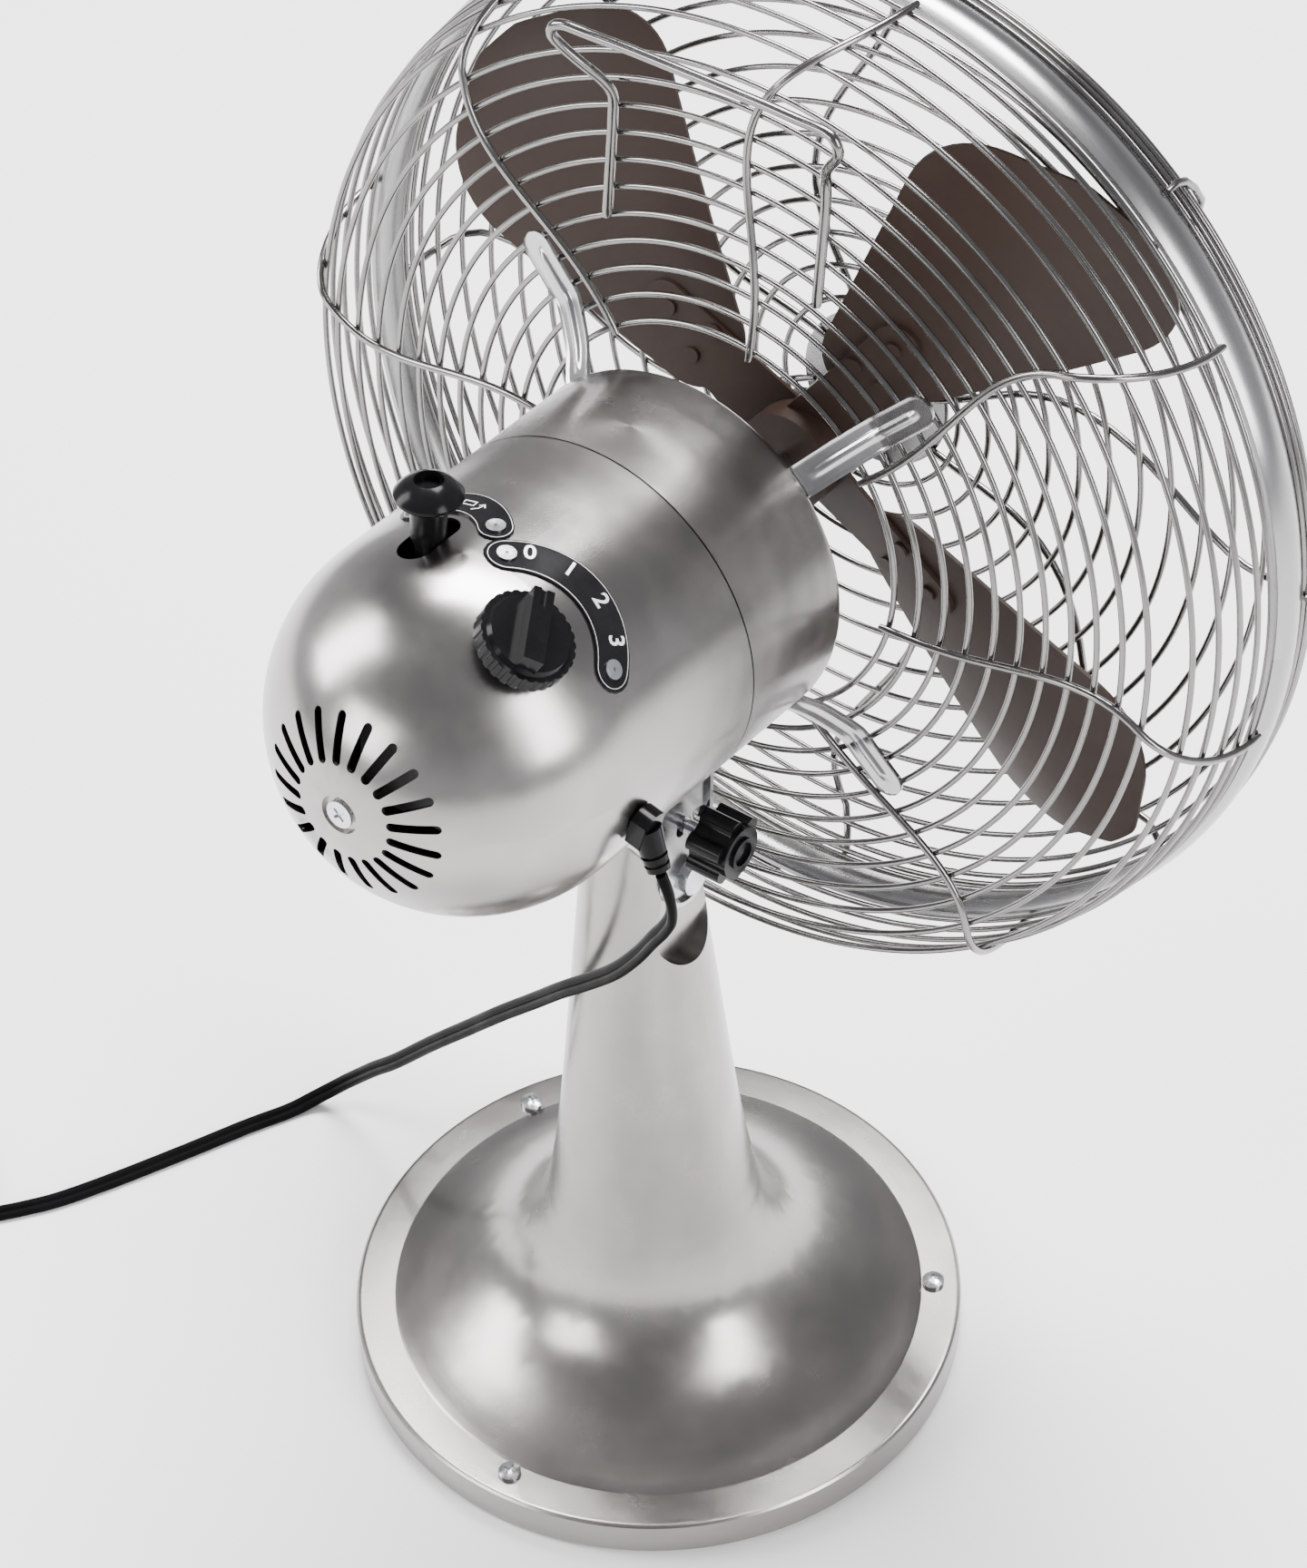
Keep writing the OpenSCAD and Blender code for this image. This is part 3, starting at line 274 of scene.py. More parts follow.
@dataclass(frozen=True)
class Finish:
    """What every finish has: a name, a base colour, and how shiny it is."""

    name: str
    colour: Point
    shade: Point
    rough_low: float
    rough_high: float
    bump_mm: float = 0.01

    def start(self) -> tuple[bpy.types.Material, Wiring, bpy.types.Node]:
        """Makes an empty node material.

        Returns:
            The material, its wiring, and its Principled BSDF.
        """
        material = bpy.data.materials.new(self.name)
        material.use_nodes = True
        material.diffuse_color = (*self.colour, 1.0)
        wiring = Wiring(material.node_tree)
        return material, wiring, material.node_tree.nodes["Principled BSDF"]

    def bump(self, w: Wiring, shader: bpy.types.Node, height: bpy.types.NodeSocket) -> None:
        """Feeds a height into the shader's normal at this finish's depth."""
        made = w.node("Bump")
        made.inputs["Strength"].default_value = 0.6
        made.inputs["Distance"].default_value = self.bump_mm * MM
        w.link(height, made.inputs["Height"])
        w.link(made.outputs["Normal"], shader.inputs["Normal"])

    def make(self) -> bpy.types.Material:
        """Builds the material; each kind of finish has its own way."""
        raise NotImplementedError


@dataclass(frozen=True)
class TurnedMetal(Finish):
    """Bright metal spun and brushed round an axis, then lacquered."""

    axis: Axis = Axis.COLUMN
    lines: float = 1400.0
    streaks: float = 60.0
    anisotropy: float = 0.45

    def make(self) -> bpy.types.Material:
        """Builds the material and returns it."""
        material, w, shader = self.start()
        place = w.node("TexCoord").outputs["Object"]
        if self.axis is Axis.MOTOR:
            mapping = w.node("Mapping", vector_type="TEXTURE")
            w.link(place, mapping.inputs["Vector"])
            origin = HEAD.matrix.to_translation()
            mapping.inputs["Location"].default_value = origin
            mapping.inputs["Rotation"].default_value = (math.radians(HEAD.tilt_deg - 90.0), 0.0, 0.0)
            place = mapping.outputs["Vector"]
        marks = w.group(TurnedMarks, Vector=place, Lines=self.lines, Streaks=self.streaks)
        tone = w.math("ADD", w.math("MULTIPLY", marks.outputs["Streak Mask"], 0.6),
                      w.math("MULTIPLY", marks.outputs["Smear Mask"], 0.4))
        w.link(w.mix(tone, self.shade, self.colour), shader.inputs["Base Color"])
        rough = w.math("ADD", w.math("MULTIPLY", marks.outputs["Streak Mask"], 0.55),
                       w.math("MULTIPLY", marks.outputs["Smear Mask"], 0.45))
        w.link(w.ramp(rough, 0.0, 1.0, self.rough_low, self.rough_high), shader.inputs["Roughness"])
        shader.inputs["Metallic"].default_value = 1.0
        shader.inputs["Anisotropic"].default_value = self.anisotropy
        shader.inputs["Coat Roughness"].default_value = 0.12
        shader.inputs["Coat Weight"].default_value = 0.15
        self.bump(w, shader, marks.outputs["Height"])
        return material


@dataclass(frozen=True)
class Grained(Finish):
    """Lacquer, plastic, rubber, cast or plated metal: fine grain with cloudy variation."""

    metallic: float = 0.0
    grain: float = 900.0
    clouds: float = 18.0
    specular: float = 0.5

    def make(self) -> bpy.types.Material:
        """Builds the material and returns it."""
        material, w, shader = self.start()
        place = w.node("TexCoord").outputs["Object"]
        grain = w.group(FineGrain, Vector=place, Grain=self.grain, Clouds=self.clouds)
        tone = w.math("ADD", w.math("MULTIPLY", grain.outputs["Cloud Mask"], 0.7),
                      w.math("MULTIPLY", grain.outputs["Grain Mask"], 0.3))
        w.link(w.mix(tone, self.shade, self.colour), shader.inputs["Base Color"])
        w.link(w.ramp(grain.outputs["Cloud Mask"], 0.0, 1.0, self.rough_low, self.rough_high),
               shader.inputs["Roughness"])
        shader.inputs["Metallic"].default_value = self.metallic
        shader.inputs["Specular IOR Level"].default_value = self.specular
        self.bump(w, shader, grain.outputs["Height"])
        return material


@dataclass(frozen=True)
class Finishes:
    """Every finish of the fan. WORN_BY says which CAD nodes wear each."""

    base_metal: Finish = TurnedMetal(
        "spun base metal", (0.34, 0.321, 0.308), (0.27, 0.257, 0.248), 0.22, 0.30, 0.010,
        axis=Axis.COLUMN, lines=1100.0, streaks=45.0)
    head_metal: Finish = TurnedMetal(
        "brushed head metal", (0.38, 0.362, 0.350), (0.30, 0.287, 0.279), 0.21, 0.29, 0.008,
        axis=Axis.MOTOR, lines=1500.0, streaks=55.0)
    band_metal: Finish = TurnedMetal(
        "brushed band metal", (0.37, 0.37, 0.375), (0.29, 0.29, 0.295), 0.22, 0.32, 0.008,
        axis=Axis.MOTOR, lines=1300.0, streaks=90.0)
    bracket_metal: Finish = Grained(
        "pressed bracket metal", (0.50, 0.50, 0.505), (0.41, 0.41, 0.415), 0.16, 0.26, 0.008,
        metallic=1.0, grain=700.0, clouds=40.0)
    wire: Finish = Grained(
        "wire lacquer", (0.25, 0.245, 0.24), (0.19, 0.185, 0.18), 0.15, 0.24, 0.006,
        metallic=1.0, grain=1200.0, clouds=30.0)
    zinc: Finish = Grained(
        "bright zinc", (0.70, 0.71, 0.73), (0.54, 0.55, 0.58), 0.16, 0.34, 0.006,
        metallic=1.0, grain=900.0, clouds=120.0)
    cast: Finish = Grained(
        "cast zinc", (0.52, 0.52, 0.53), (0.38, 0.38, 0.39), 0.45, 0.62, 0.03,
        metallic=0.9, grain=500.0, clouds=40.0)
    dark_steel: Finish = Grained(
        "dark steel", (0.13, 0.13, 0.14), (0.07, 0.07, 0.075), 0.42, 0.62, 0.02,
        metallic=0.8, grain=700.0, clouds=35.0)
    blade: Finish = Grained(
        "blade enamel", (0.036, 0.0205, 0.0155), (0.029, 0.0165, 0.0125), 0.40, 0.50, 0.010,
        grain=600.0, clouds=16.0, specular=0.25)
    plastic: Finish = Grained(
        "black moulding", (0.007, 0.007, 0.0075), (0.004, 0.004, 0.0045), 0.14, 0.24, 0.006,
        grain=800.0, clouds=40.0, specular=0.11)
    label: Finish = Grained(
        "label enamel", (0.010, 0.010, 0.011), (0.006, 0.006, 0.007), 0.14, 0.24, 0.004,
        grain=900.0, clouds=60.0, specular=0.11)
    print_metal: Finish = Grained(
        "label bare metal", (0.86, 0.86, 0.85), (0.76, 0.76, 0.75), 0.30, 0.42, 0.004,
        metallic=0.35, grain=900.0, clouds=90.0)
    jacket: Finish = Grained(
        "cord jacket", (0.005, 0.005, 0.0055), (0.0035, 0.0035, 0.0035), 0.34, 0.44, 0.006,
        grain=1500.0, clouds=55.0, specular=0.012)
    pad: Finish = Grained(
        "pad rubber", (0.03, 0.03, 0.03), (0.018, 0.018, 0.018), 0.72, 0.88, 0.05,
        grain=900.0, clouds=20.0)
    copper: Finish = Grained(
        "enamelled copper", (0.50, 0.19, 0.08), (0.32, 0.11, 0.05), 0.28, 0.42, 0.06,
        metallic=0.8, grain=260.0, clouds=60.0)
    case: Finish = Grained(
        "capacitor case", (0.70, 0.69, 0.64), (0.60, 0.59, 0.54), 0.40, 0.55, 0.02,
        grain=500.0, clouds=30.0)
    nylon: Finish = Grained(
        "gear nylon", (0.74, 0.66, 0.50), (0.62, 0.54, 0.40), 0.40, 0.52, 0.01,
        grain=500.0, clouds=60.0)
    fibre: Finish = Grained(
        "washer fibre", (0.07, 0.05, 0.04), (0.04, 0.03, 0.025), 0.60, 0.78, 0.03,
        grain=600.0, clouds=90.0)
    made: dict[str, bpy.types.Material] = field(default_factory=dict)

    def get(self, name: str) -> bpy.types.Material:
        """Returns the named finish's material, built the first time it is asked for."""
        if name not in self.made:
            self.made[name] = getattr(self, name).make()
        return self.made[name]


FINISHES = Finishes()

WORN_BY: dict[str, tuple[str, ...]] = {
    "base_metal": ("base_shell",),
    "head_metal": ("motor_cover", "rear_cover", "swivel_neck"),
    "band_metal": ("rim_band", "medallion"),
    "bracket_metal": ("tilt_bracket", "guard_brackets"),
    "zinc": ("base_screws", "base_nuts", "pivot_bolt", "pivot_nut", "lock_stud", "swivel_spindle",
             "spindle_clip", "link_anchor_pin", "swing_link", "cover_screw", "motor_bolts", "plate_rivets",
             "bracket_screws",
             "rim_clamp", "motor_shaft", "crank_gear"),
    "cast": ("front_bearing_plate", "rear_bearing_plate", "gearbox_housing"),
    "dark_steel": ("base_plate", "base_weight", "stator_core", "rotor_core"),
    "blade": ("fan_hub", "blade_1", "blade_2", "blade_3", "blade_4", "blade_plates", "blade_rivets"),
    "plastic": ("tilt_knob", "speed_knob", "swing_knob", "speed_switch", "hub_cap", "cord_gland"),
    "label": ("speed_plate", "swing_plate"),
    "jacket": ("power_cord", "cord_coil_and_plug"),
    "wire": ("rear_face_rings", "rear_side_rings", "rear_guard_wires", "carry_handle", "front_side_rings",
             "front_face_rings", "front_guard_wires"),
    "pad": ("base_pad",),
    "copper": ("windings",),
    "case": ("capacitor",),
    "nylon": ("worm_wheel",),
    "fibre": ("pivot_washers",),
}


# ---------------------------------------------------------------- mesh tools


class Mesh:
    """Collects vertices and faces of one piece, in the row frame, in metres."""

    def __init__(self, name: str) -> None:
        """Starts an empty piece."""
        self.name = name
        self.points: list[Vector] = []
        self.faces: list[tuple[int, ...]] = []

    def tube(self, path: Sequence[Vector], section: Sequence[tuple[float, float]], side: Vector,
             closed: bool = False, scale: Callable[[float], float] | None = None) -> None:
        """Sweeps a closed outline along a path without twisting it.

        Args:
            path: The centre line.
            section: The outline, as distances along the side vector and across it.
            side: The side vector's wanted direction at the path's start.
            closed: Whether the path is a ring.
            scale: The section's size at each share of the length.
        """
        count, across = len(path), len(section)
        tangents = []
        for i in range(count):
            ahead = path[(i + 1) % count] if closed else path[min(i + 1, count - 1)]
            behind = path[i - 1] if closed else path[max(i - 1, 0)]
            tangents.append((ahead - behind).normalized())
        base = len(self.points)
        for i, (at, along) in enumerate(zip(path, tangents)):
            side = (side - along * side.dot(along)).normalized()
            over = along.cross(side)
            size = scale(i / (count - 1)) if scale else 1.0
            self.points += [at + side * (a * size) + over * (b * size) for a, b in section]
        for i in range(count if closed else count - 1):
            j = (i + 1) % count
            for k in range(across):
                m = (k + 1) % across
                self.faces.append((base + i * across + k, base + i * across + m, base + j * across + m,
                                   base + j * across + k))
        if not closed:
            self.faces.append(tuple(base + k for k in reversed(range(across))))
            self.faces.append(tuple(base + (count - 1) * across + k for k in range(across)))

    def ring(self, radius: float, y: float, diameter: float, around: int = 192, sides: int = 12) -> None:
        """Adds a wire ring round the motor axis.

        Args:
            radius: The ring's radius.
            y: Its place along the motor axis, positive to the rear.
            diameter: The wire's diameter.
            around: Steps round the ring.
            sides: Sides of the wire.
        """
        turns = [2 * math.pi * i / around for i in range(around)]
        path = [HEAD.matrix @ Vector((radius * math.sin(t), y, radius * math.cos(t))) for t in turns]
        self.tube(path, circle(diameter / 2, sides), HEAD.matrix.to_3x3() @ Vector((0, 1, 0)), closed=True)

    def lathe(self, profile: Sequence[tuple[float, float]], place: Matrix, around: int = 96) -> None:
        """Turns an open profile round the +Z axis of place.

        Args:
            profile: Pairs of radius and height; a radius of 0 closes the end.
            place: Matrix to the row frame.
            around: Steps round.
        """
        base = len(self.points)
        rows: list[list[int]] = []
        for radius, height in profile:
            if radius == 0:
                rows.append([len(self.points)] * around)
                self.points.append(place @ Vector((0, 0, height)))
                continue
            row = []
            for i in range(around):
                turn = 2 * math.pi * i / around
                row.append(len(self.points))
                self.points.append(place @ Vector((radius * math.cos(turn), radius * math.sin(turn), height)))
            rows.append(row)
        for low, high in zip(rows, rows[1:]):
            for i in range(around):
                j = (i + 1) % around
                corners = []
                for c in (low[i], low[j], high[j], high[i]):
                    if c not in corners:
                        corners.append(c)
                if len(corners) > 2:
                    self.faces.append(tuple(corners))

    def make(self, finish: str, body: str, slot: str, smooth_deg: float = 35.0) -> bpy.types.Object:
        """Turns the collected faces into an object that rides on a body.

        Args:
            finish: Name of its finish.
            body: Name of the CAD body it moves with.
            slot: The record's material slot it stands for; not used.
            smooth_deg: Edges sharper than this stay crisp.

        Returns:
            The new object.
        """
        mesh = bpy.data.meshes.new(self.name)
        mesh.from_pydata([tuple(p) for p in self.points], [], self.faces)
        work = bmesh.new()
        work.from_mesh(mesh)
        bmesh.ops.recalc_face_normals(work, faces=work.faces)
        work.to_mesh(mesh)
        work.free()
        mesh.polygons.foreach_set("use_smooth", [True] * len(mesh.polygons))
        mesh.set_sharp_from_angle(angle=math.radians(smooth_deg))
        made = bpy.data.objects.new(self.name, mesh)
        bpy.context.scene.collection.objects.link(made)
        made.data.materials.append(FINISHES.get(finish))
        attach(made, body)
        return made


def circle(radius: float, sides: int) -> list[tuple[float, float]]:
    """Returns a round outline with the given number of sides."""
    return [(radius * math.cos(2 * math.pi * k / sides), radius * math.sin(2 * math.pi * k / sides))
            for k in range(sides)]


def flowing(points: Sequence[Point], step: float) -> list[Vector]:
    """Runs a smooth curve through points.

    Args:
        points: The points, in metres.
        step: Wanted distance between the curve's points.

    Returns:
        The curve's points, the given ones among them.
    """
    p = [Vector(q) for q in points]
    p = [p[0] * 2 - p[1]] + p + [p[-1] * 2 - p[-2]]
    out = []
    for i in range(1, len(p) - 2):
        a, b, c, d = p[i - 1], p[i], p[i + 1], p[i + 2]
        parts = max(1, math.ceil((c - b).length / step))
        for k in range(parts):
            t = k / parts
            out.append(0.5 * ((2 * b) + (c - a) * t + (2 * a - 5 * b + 4 * c - d) * t * t
                              + (3 * b - a - 3 * c + d) * t ** 3))
    out.append(p[-2])
    return out


def length_of(path: Sequence[Vector]) -> float:
    """Returns the length of a path."""
    return sum((b - a).length for a, b in zip(path, path[1:]))


# ---------------------------------------------------------------- camera and light


@dataclass
class Studio:
    """Camera, pale floor and soft light."""

    lens_mm: float = 108.33
    place: Point = (-0.667994, 0.847155, 1.324015)
    turn_deg: Point = (45.7297, 1.7742, -143.6397)
    shift: tuple[float, float] = (0.00572, -0.01255)

    def camera(self) -> None:
        """Sets up the camera."""
        data = bpy.data.cameras.new("camera")
        data.lens = self.lens_mm
        data.sensor_width = 36.0
        data.shift_x, data.shift_y = self.shift
        data.clip_start, data.clip_end = 0.05, 50.0
        made = bpy.data.objects.new("camera", data)
        made.location = self.place
        made.rotation_euler = [math.radians(a) for a in self.turn_deg]
        bpy.context.scene.collection.objects.link(made)
        bpy.context.scene.camera = made

    def floor(self) -> None:
        """Lays the floor, just under the pad."""
        mesh = bpy.data.meshes.new("floor")
        size = 6.0
        mesh.from_pydata([(-size, -size, -0.0002), (size, -size, -0.0002), (size, size, -0.0002),
                          (-size, size, -0.0002)], [], [(0, 1, 2, 3)])
        made = bpy.data.objects.new("floor", mesh)
        bpy.context.scene.collection.objects.link(made)
        material = bpy.data.materials.new("floor paper")
        material.use_nodes = True
        shader = material.node_tree.nodes["Principled BSDF"]
        w = Wiring(material.node_tree)
        cloud = w.noise(w.node("TexCoord").outputs["Object"], 6.0, 3.0)
        w.link(w.mix(cloud, (0.94, 0.94, 0.94), (0.96, 0.96, 0.96)), shader.inputs["Base Color"])
        shader.inputs["Roughness"].default_value = 0.85
        shader.inputs["Specular IOR Level"].default_value = 0.1
        made.data.materials.append(material)

    def softbox(self, name: str, at: Point, aim: Point, size: tuple[float, float], watts: float) -> None:
        """Hangs one soft light.

        Args:
            name: The light's name.
            at: Where it hangs.
            aim: The point it faces.
            size: Its width and height.
            watts: Its power.
        """
        data = bpy.data.lights.new(name, "AREA")
        data.shape = "RECTANGLE"
        data.size, data.size_y = size
        data.energy = watts
        made = bpy.data.objects.new(name, data)
        made.location = at
        made.rotation_euler = (Vector(aim) - Vector(at)).to_track_quat("-Z", "Y").to_euler()
        bpy.context.scene.collection.objects.link(made)

    def light(self) -> None:
        """Lights the fan: a pale surround with darker parts overhead, and four soft boxes."""
        world = bpy.data.worlds.new("surround")
        bpy.context.scene.world = world
        world.use_nodes = True
        w = Wiring(world.node_tree)
        background = world.node_tree.nodes["Background"]
        parts = w.node("SeparateXYZ")
        w.link(w.node("TexCoord").outputs["Generated"], parts.inputs[0])
        share = w.ramp(parts.outputs[2], 0.02, 0.42)
        w.link(w.mix(share, (0.70, 0.71, 0.73), (0.35, 0.35, 0.36)), background.inputs["Color"])
        background.inputs["Strength"].default_value = 1.0
        self.softbox("left box", (1.9, 0.9, 1.5), (0, 0, 0.25), (0.8, 1.5), 62.0)
        self.softbox("right box", (-1.9, 0.2, 1.2), (0, 0, 0.3), (0.7, 1.4), 46.0)
        self.softbox("top box", (0.3, -0.9, 2.3), (0, 0, 0.1), (1.5, 0.9), 170.0)
        self.softbox("rear box", (0.9, 2.2, 1.0), (0, 0, 0.3), (1.2, 0.8), 30.0)

    def build(self) -> None:
        """Builds all of it."""
        self.camera()
        self.floor()
        self.light()
        log.info("camera, floor and lights are up")


# ---------------------------------------------------------------- cord


@dataclass
class PowerCord:
    """The flat two-core cord: its run from the gland, its coil, and its plug."""

    width: float = 0.0060
    thick: float = 0.0032
    route: tuple[Point, ...] = (
        (-0.0686, 0.0772, 0.329), (-0.070, 0.0766, 0.3235), (-0.0703, 0.075, 0.316), (-0.0685, 0.0725, 0.306),
        (-0.0635, 0.0695, 0.2955), (-0.056, 0.066, 0.283), (-0.046, 0.0615, 0.266), (-0.033, 0.056, 0.2465),
        (-0.017, 0.049, 0.226), (0.002, 0.041, 0.203), (0.021, 0.033, 0.179), (0.043, 0.025, 0.152),
        (0.067, 0.016, 0.1215), (0.091, 0.008, 0.0915), (0.115, 0.001, 0.061), (0.130, -0.004, 0.043),
        (0.142, -0.008, 0.028), (0.151, -0.010, 0.017), (0.158, -0.0095, 0.009), (0.164, -0.005, 0.0038),
        (0.169, 0.004, 0.0018), (0.177, 0.019, 0.0018), (0.188, 0.042, 0.0018), (0.201, 0.068, 0.0018),
        (0.211, 0.086, 0.0018), (0.219, 0.097, 0.0018), (0.226, 0.1055, 0.0018), (0.2315, 0.114, 0.0018),
        (0.2352, 0.123, 0.0018),
    )
    floor_at: int = 19
    blade_w: float = 0.0063
    blade_t: float = 0.0015
    coil_at: Point = (0.274, 0.123, 0.0)
    coil_radius: float = 0.0388
    coil_pitch: float = 0.0061
    turns_in: float = 2.0
    layer: float = 0.0034

    def section(self) -> list[tuple[float, float]]:
        """Returns the outline of two round cores joined by a narrow web."""
        core = self.thick / 2
        off = self.width / 2 - core
        right = [(off + core * math.cos(a), core * math.sin(a)) for a in
                 (math.radians(d) for d in (-118, -90, -60, -30, 0, 30, 60, 90, 118))]
        left = [(-x, -y) for x, y in right]
        return right + [(0.0, core * 0.52)] + left + [(0.0, -core * 0.52)]

    def coil(self) -> list[Vector]:
        """Winds two layers: in along the floor, then out again on top, and off to the plug.

        Returns:
            The coil's points, from where the run meets it to the plug's tail.
        """
        centre = Vector(self.coil_at)
        out = []
        total = 2 * self.turns_in + 0.25
        steps = int(total * 48)
        for i in range(steps + 1):
            turn = total * i / steps
            inward = self.turns_in - abs(min(turn, 2 * self.turns_in) - self.turns_in)
            radius = self.coil_radius - self.coil_pitch * inward
            lift = min(1.0, max(0.0, (turn - self.turns_in + 0.2) / 0.4))
            lift = lift * lift * (3 - 2 * lift)
            angle = math.pi - 2 * math.pi * turn
            out.append(centre + Vector((radius * math.cos(angle), radius * math.sin(angle),
                                        self.route[-1][2] + self.layer * lift)))
        return out

    def build(self) -> None:
        run = flowing(self.route, 0.0025)
        coil = self.coil()
        tail = flowing([tuple(coil[-1]), (self.coil_at[0] + 0.012, coil[-1].y, coil[-1].z),
                        (self.coil_at[0] + 0.036, coil[-1].y, 0.0052)], 0.003)
        path = run + coil[1:] + tail[1:]
        piece = Mesh("power_lead")
        piece.tube(path[::-1], self.section(), Vector((0.0, 1.0, 0.0)))
        lead = piece.make("jacket", "stand", "black_cord", 50.0)
        lead.parent = None  # it runs between the stand and the bracket, so it rides on neither
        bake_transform(lead)
        plug = self.plug(coil[-1].y)
        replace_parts(lead, "power_cord")
        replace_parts(plug, "cord_coil_and_plug")
        log.info("power lead: %.3f m long", length_of(path))

    def plug(self, y: float) -> bpy.types.Object:
        """Builds the moulded plug with its ribbed sleeve and two flat blades.

        Args:
            y: The tail's place across the plug.

        Returns:
            The plug.
        """
        x = self.coil_at[0]
        piece = Mesh("lead_plug")
        along = Matrix.Translation((x, y, 0.0052)) @ Matrix.Rotation(math.radians(90), 4, "Y")
        sleeve = [(0, 0.034), (0.0032, 0.0342)]
        for k in range(5):
            at = 0.036 + 0.0034 * k
            sleeve += [(0.0036 + 0.00028 * k, at), (0.0036 + 0.00028 * k, at + 0.0020),
                       (0.0030 + 0.00028 * k, at + 0.0022), (0.0030 + 0.00028 * k, at + 0.0032)]
        sleeve += [(0.0049, 0.0535), (0, 0.0536)]
        piece.lathe(sleeve, along, 32)
        body = Matrix.Translation((x + 0.052, y, 0.008)) @ Matrix.Rotation(math.radians(90), 4, "Y")
        rows = [(0.72, 0.0), (0.90, 0.0010), (0.97, 0.003), (1.0, 0.008), (1.0, 0.021), (0.985, 0.0245),
                (0.94, 0.0258)]
        base = len(piece.points)
        sides = 40
        for size, depth in rows:
            for i in range(sides):
                a = 2 * math.pi * i / sides
                c, n = math.cos(a), math.sin(a)
                sx = math.copysign(abs(c) ** 0.45, c) * 0.0078 * size
                sy = math.copysign(abs(n) ** 0.45, n) * 0.0108 * size
                piece.points.append(body @ Vector((sx, sy, depth)))
        for r in range(len(rows) - 1):
            for i in range(sides):
                j = (i + 1) % sides
                piece.faces.append((base + r * sides + i, base + r * sides + j, base + (r + 1) * sides + j,
                                    base + (r + 1) * sides + i))
        piece.faces.append(tuple(base + i for i in reversed(range(sides))))
        piece.faces.append(tuple(base + (len(rows) - 1) * sides + i for i in range(sides)))
        made = piece.make("jacket", "stand", "black_plastic", 40.0)
        blades = Mesh("plug_blades")
        corners = ((-1, -1), (1, -1), (1, 1), (-1, 1))
        outline = [(x * self.blade_w / 2, z * self.blade_t / 2) for x, z in corners]
        for side in (-1, 1):
            path = [body @ Vector((0, side * 0.00635, d)) for d in (0.024, 0.030, 0.040, 0.0415)]
            blades.tube(path, outline, Vector((0, 0, 1)), scale=lambda t: 1.0 if t < 0.99 else 0.8)
        metal = blades.make("zinc", "stand", "black_plastic", 30.0)
        metal.parent = made
        metal.matrix_parent_inverse = Matrix.Identity(4)
        return made


# ---------------------------------------------------------------- guard


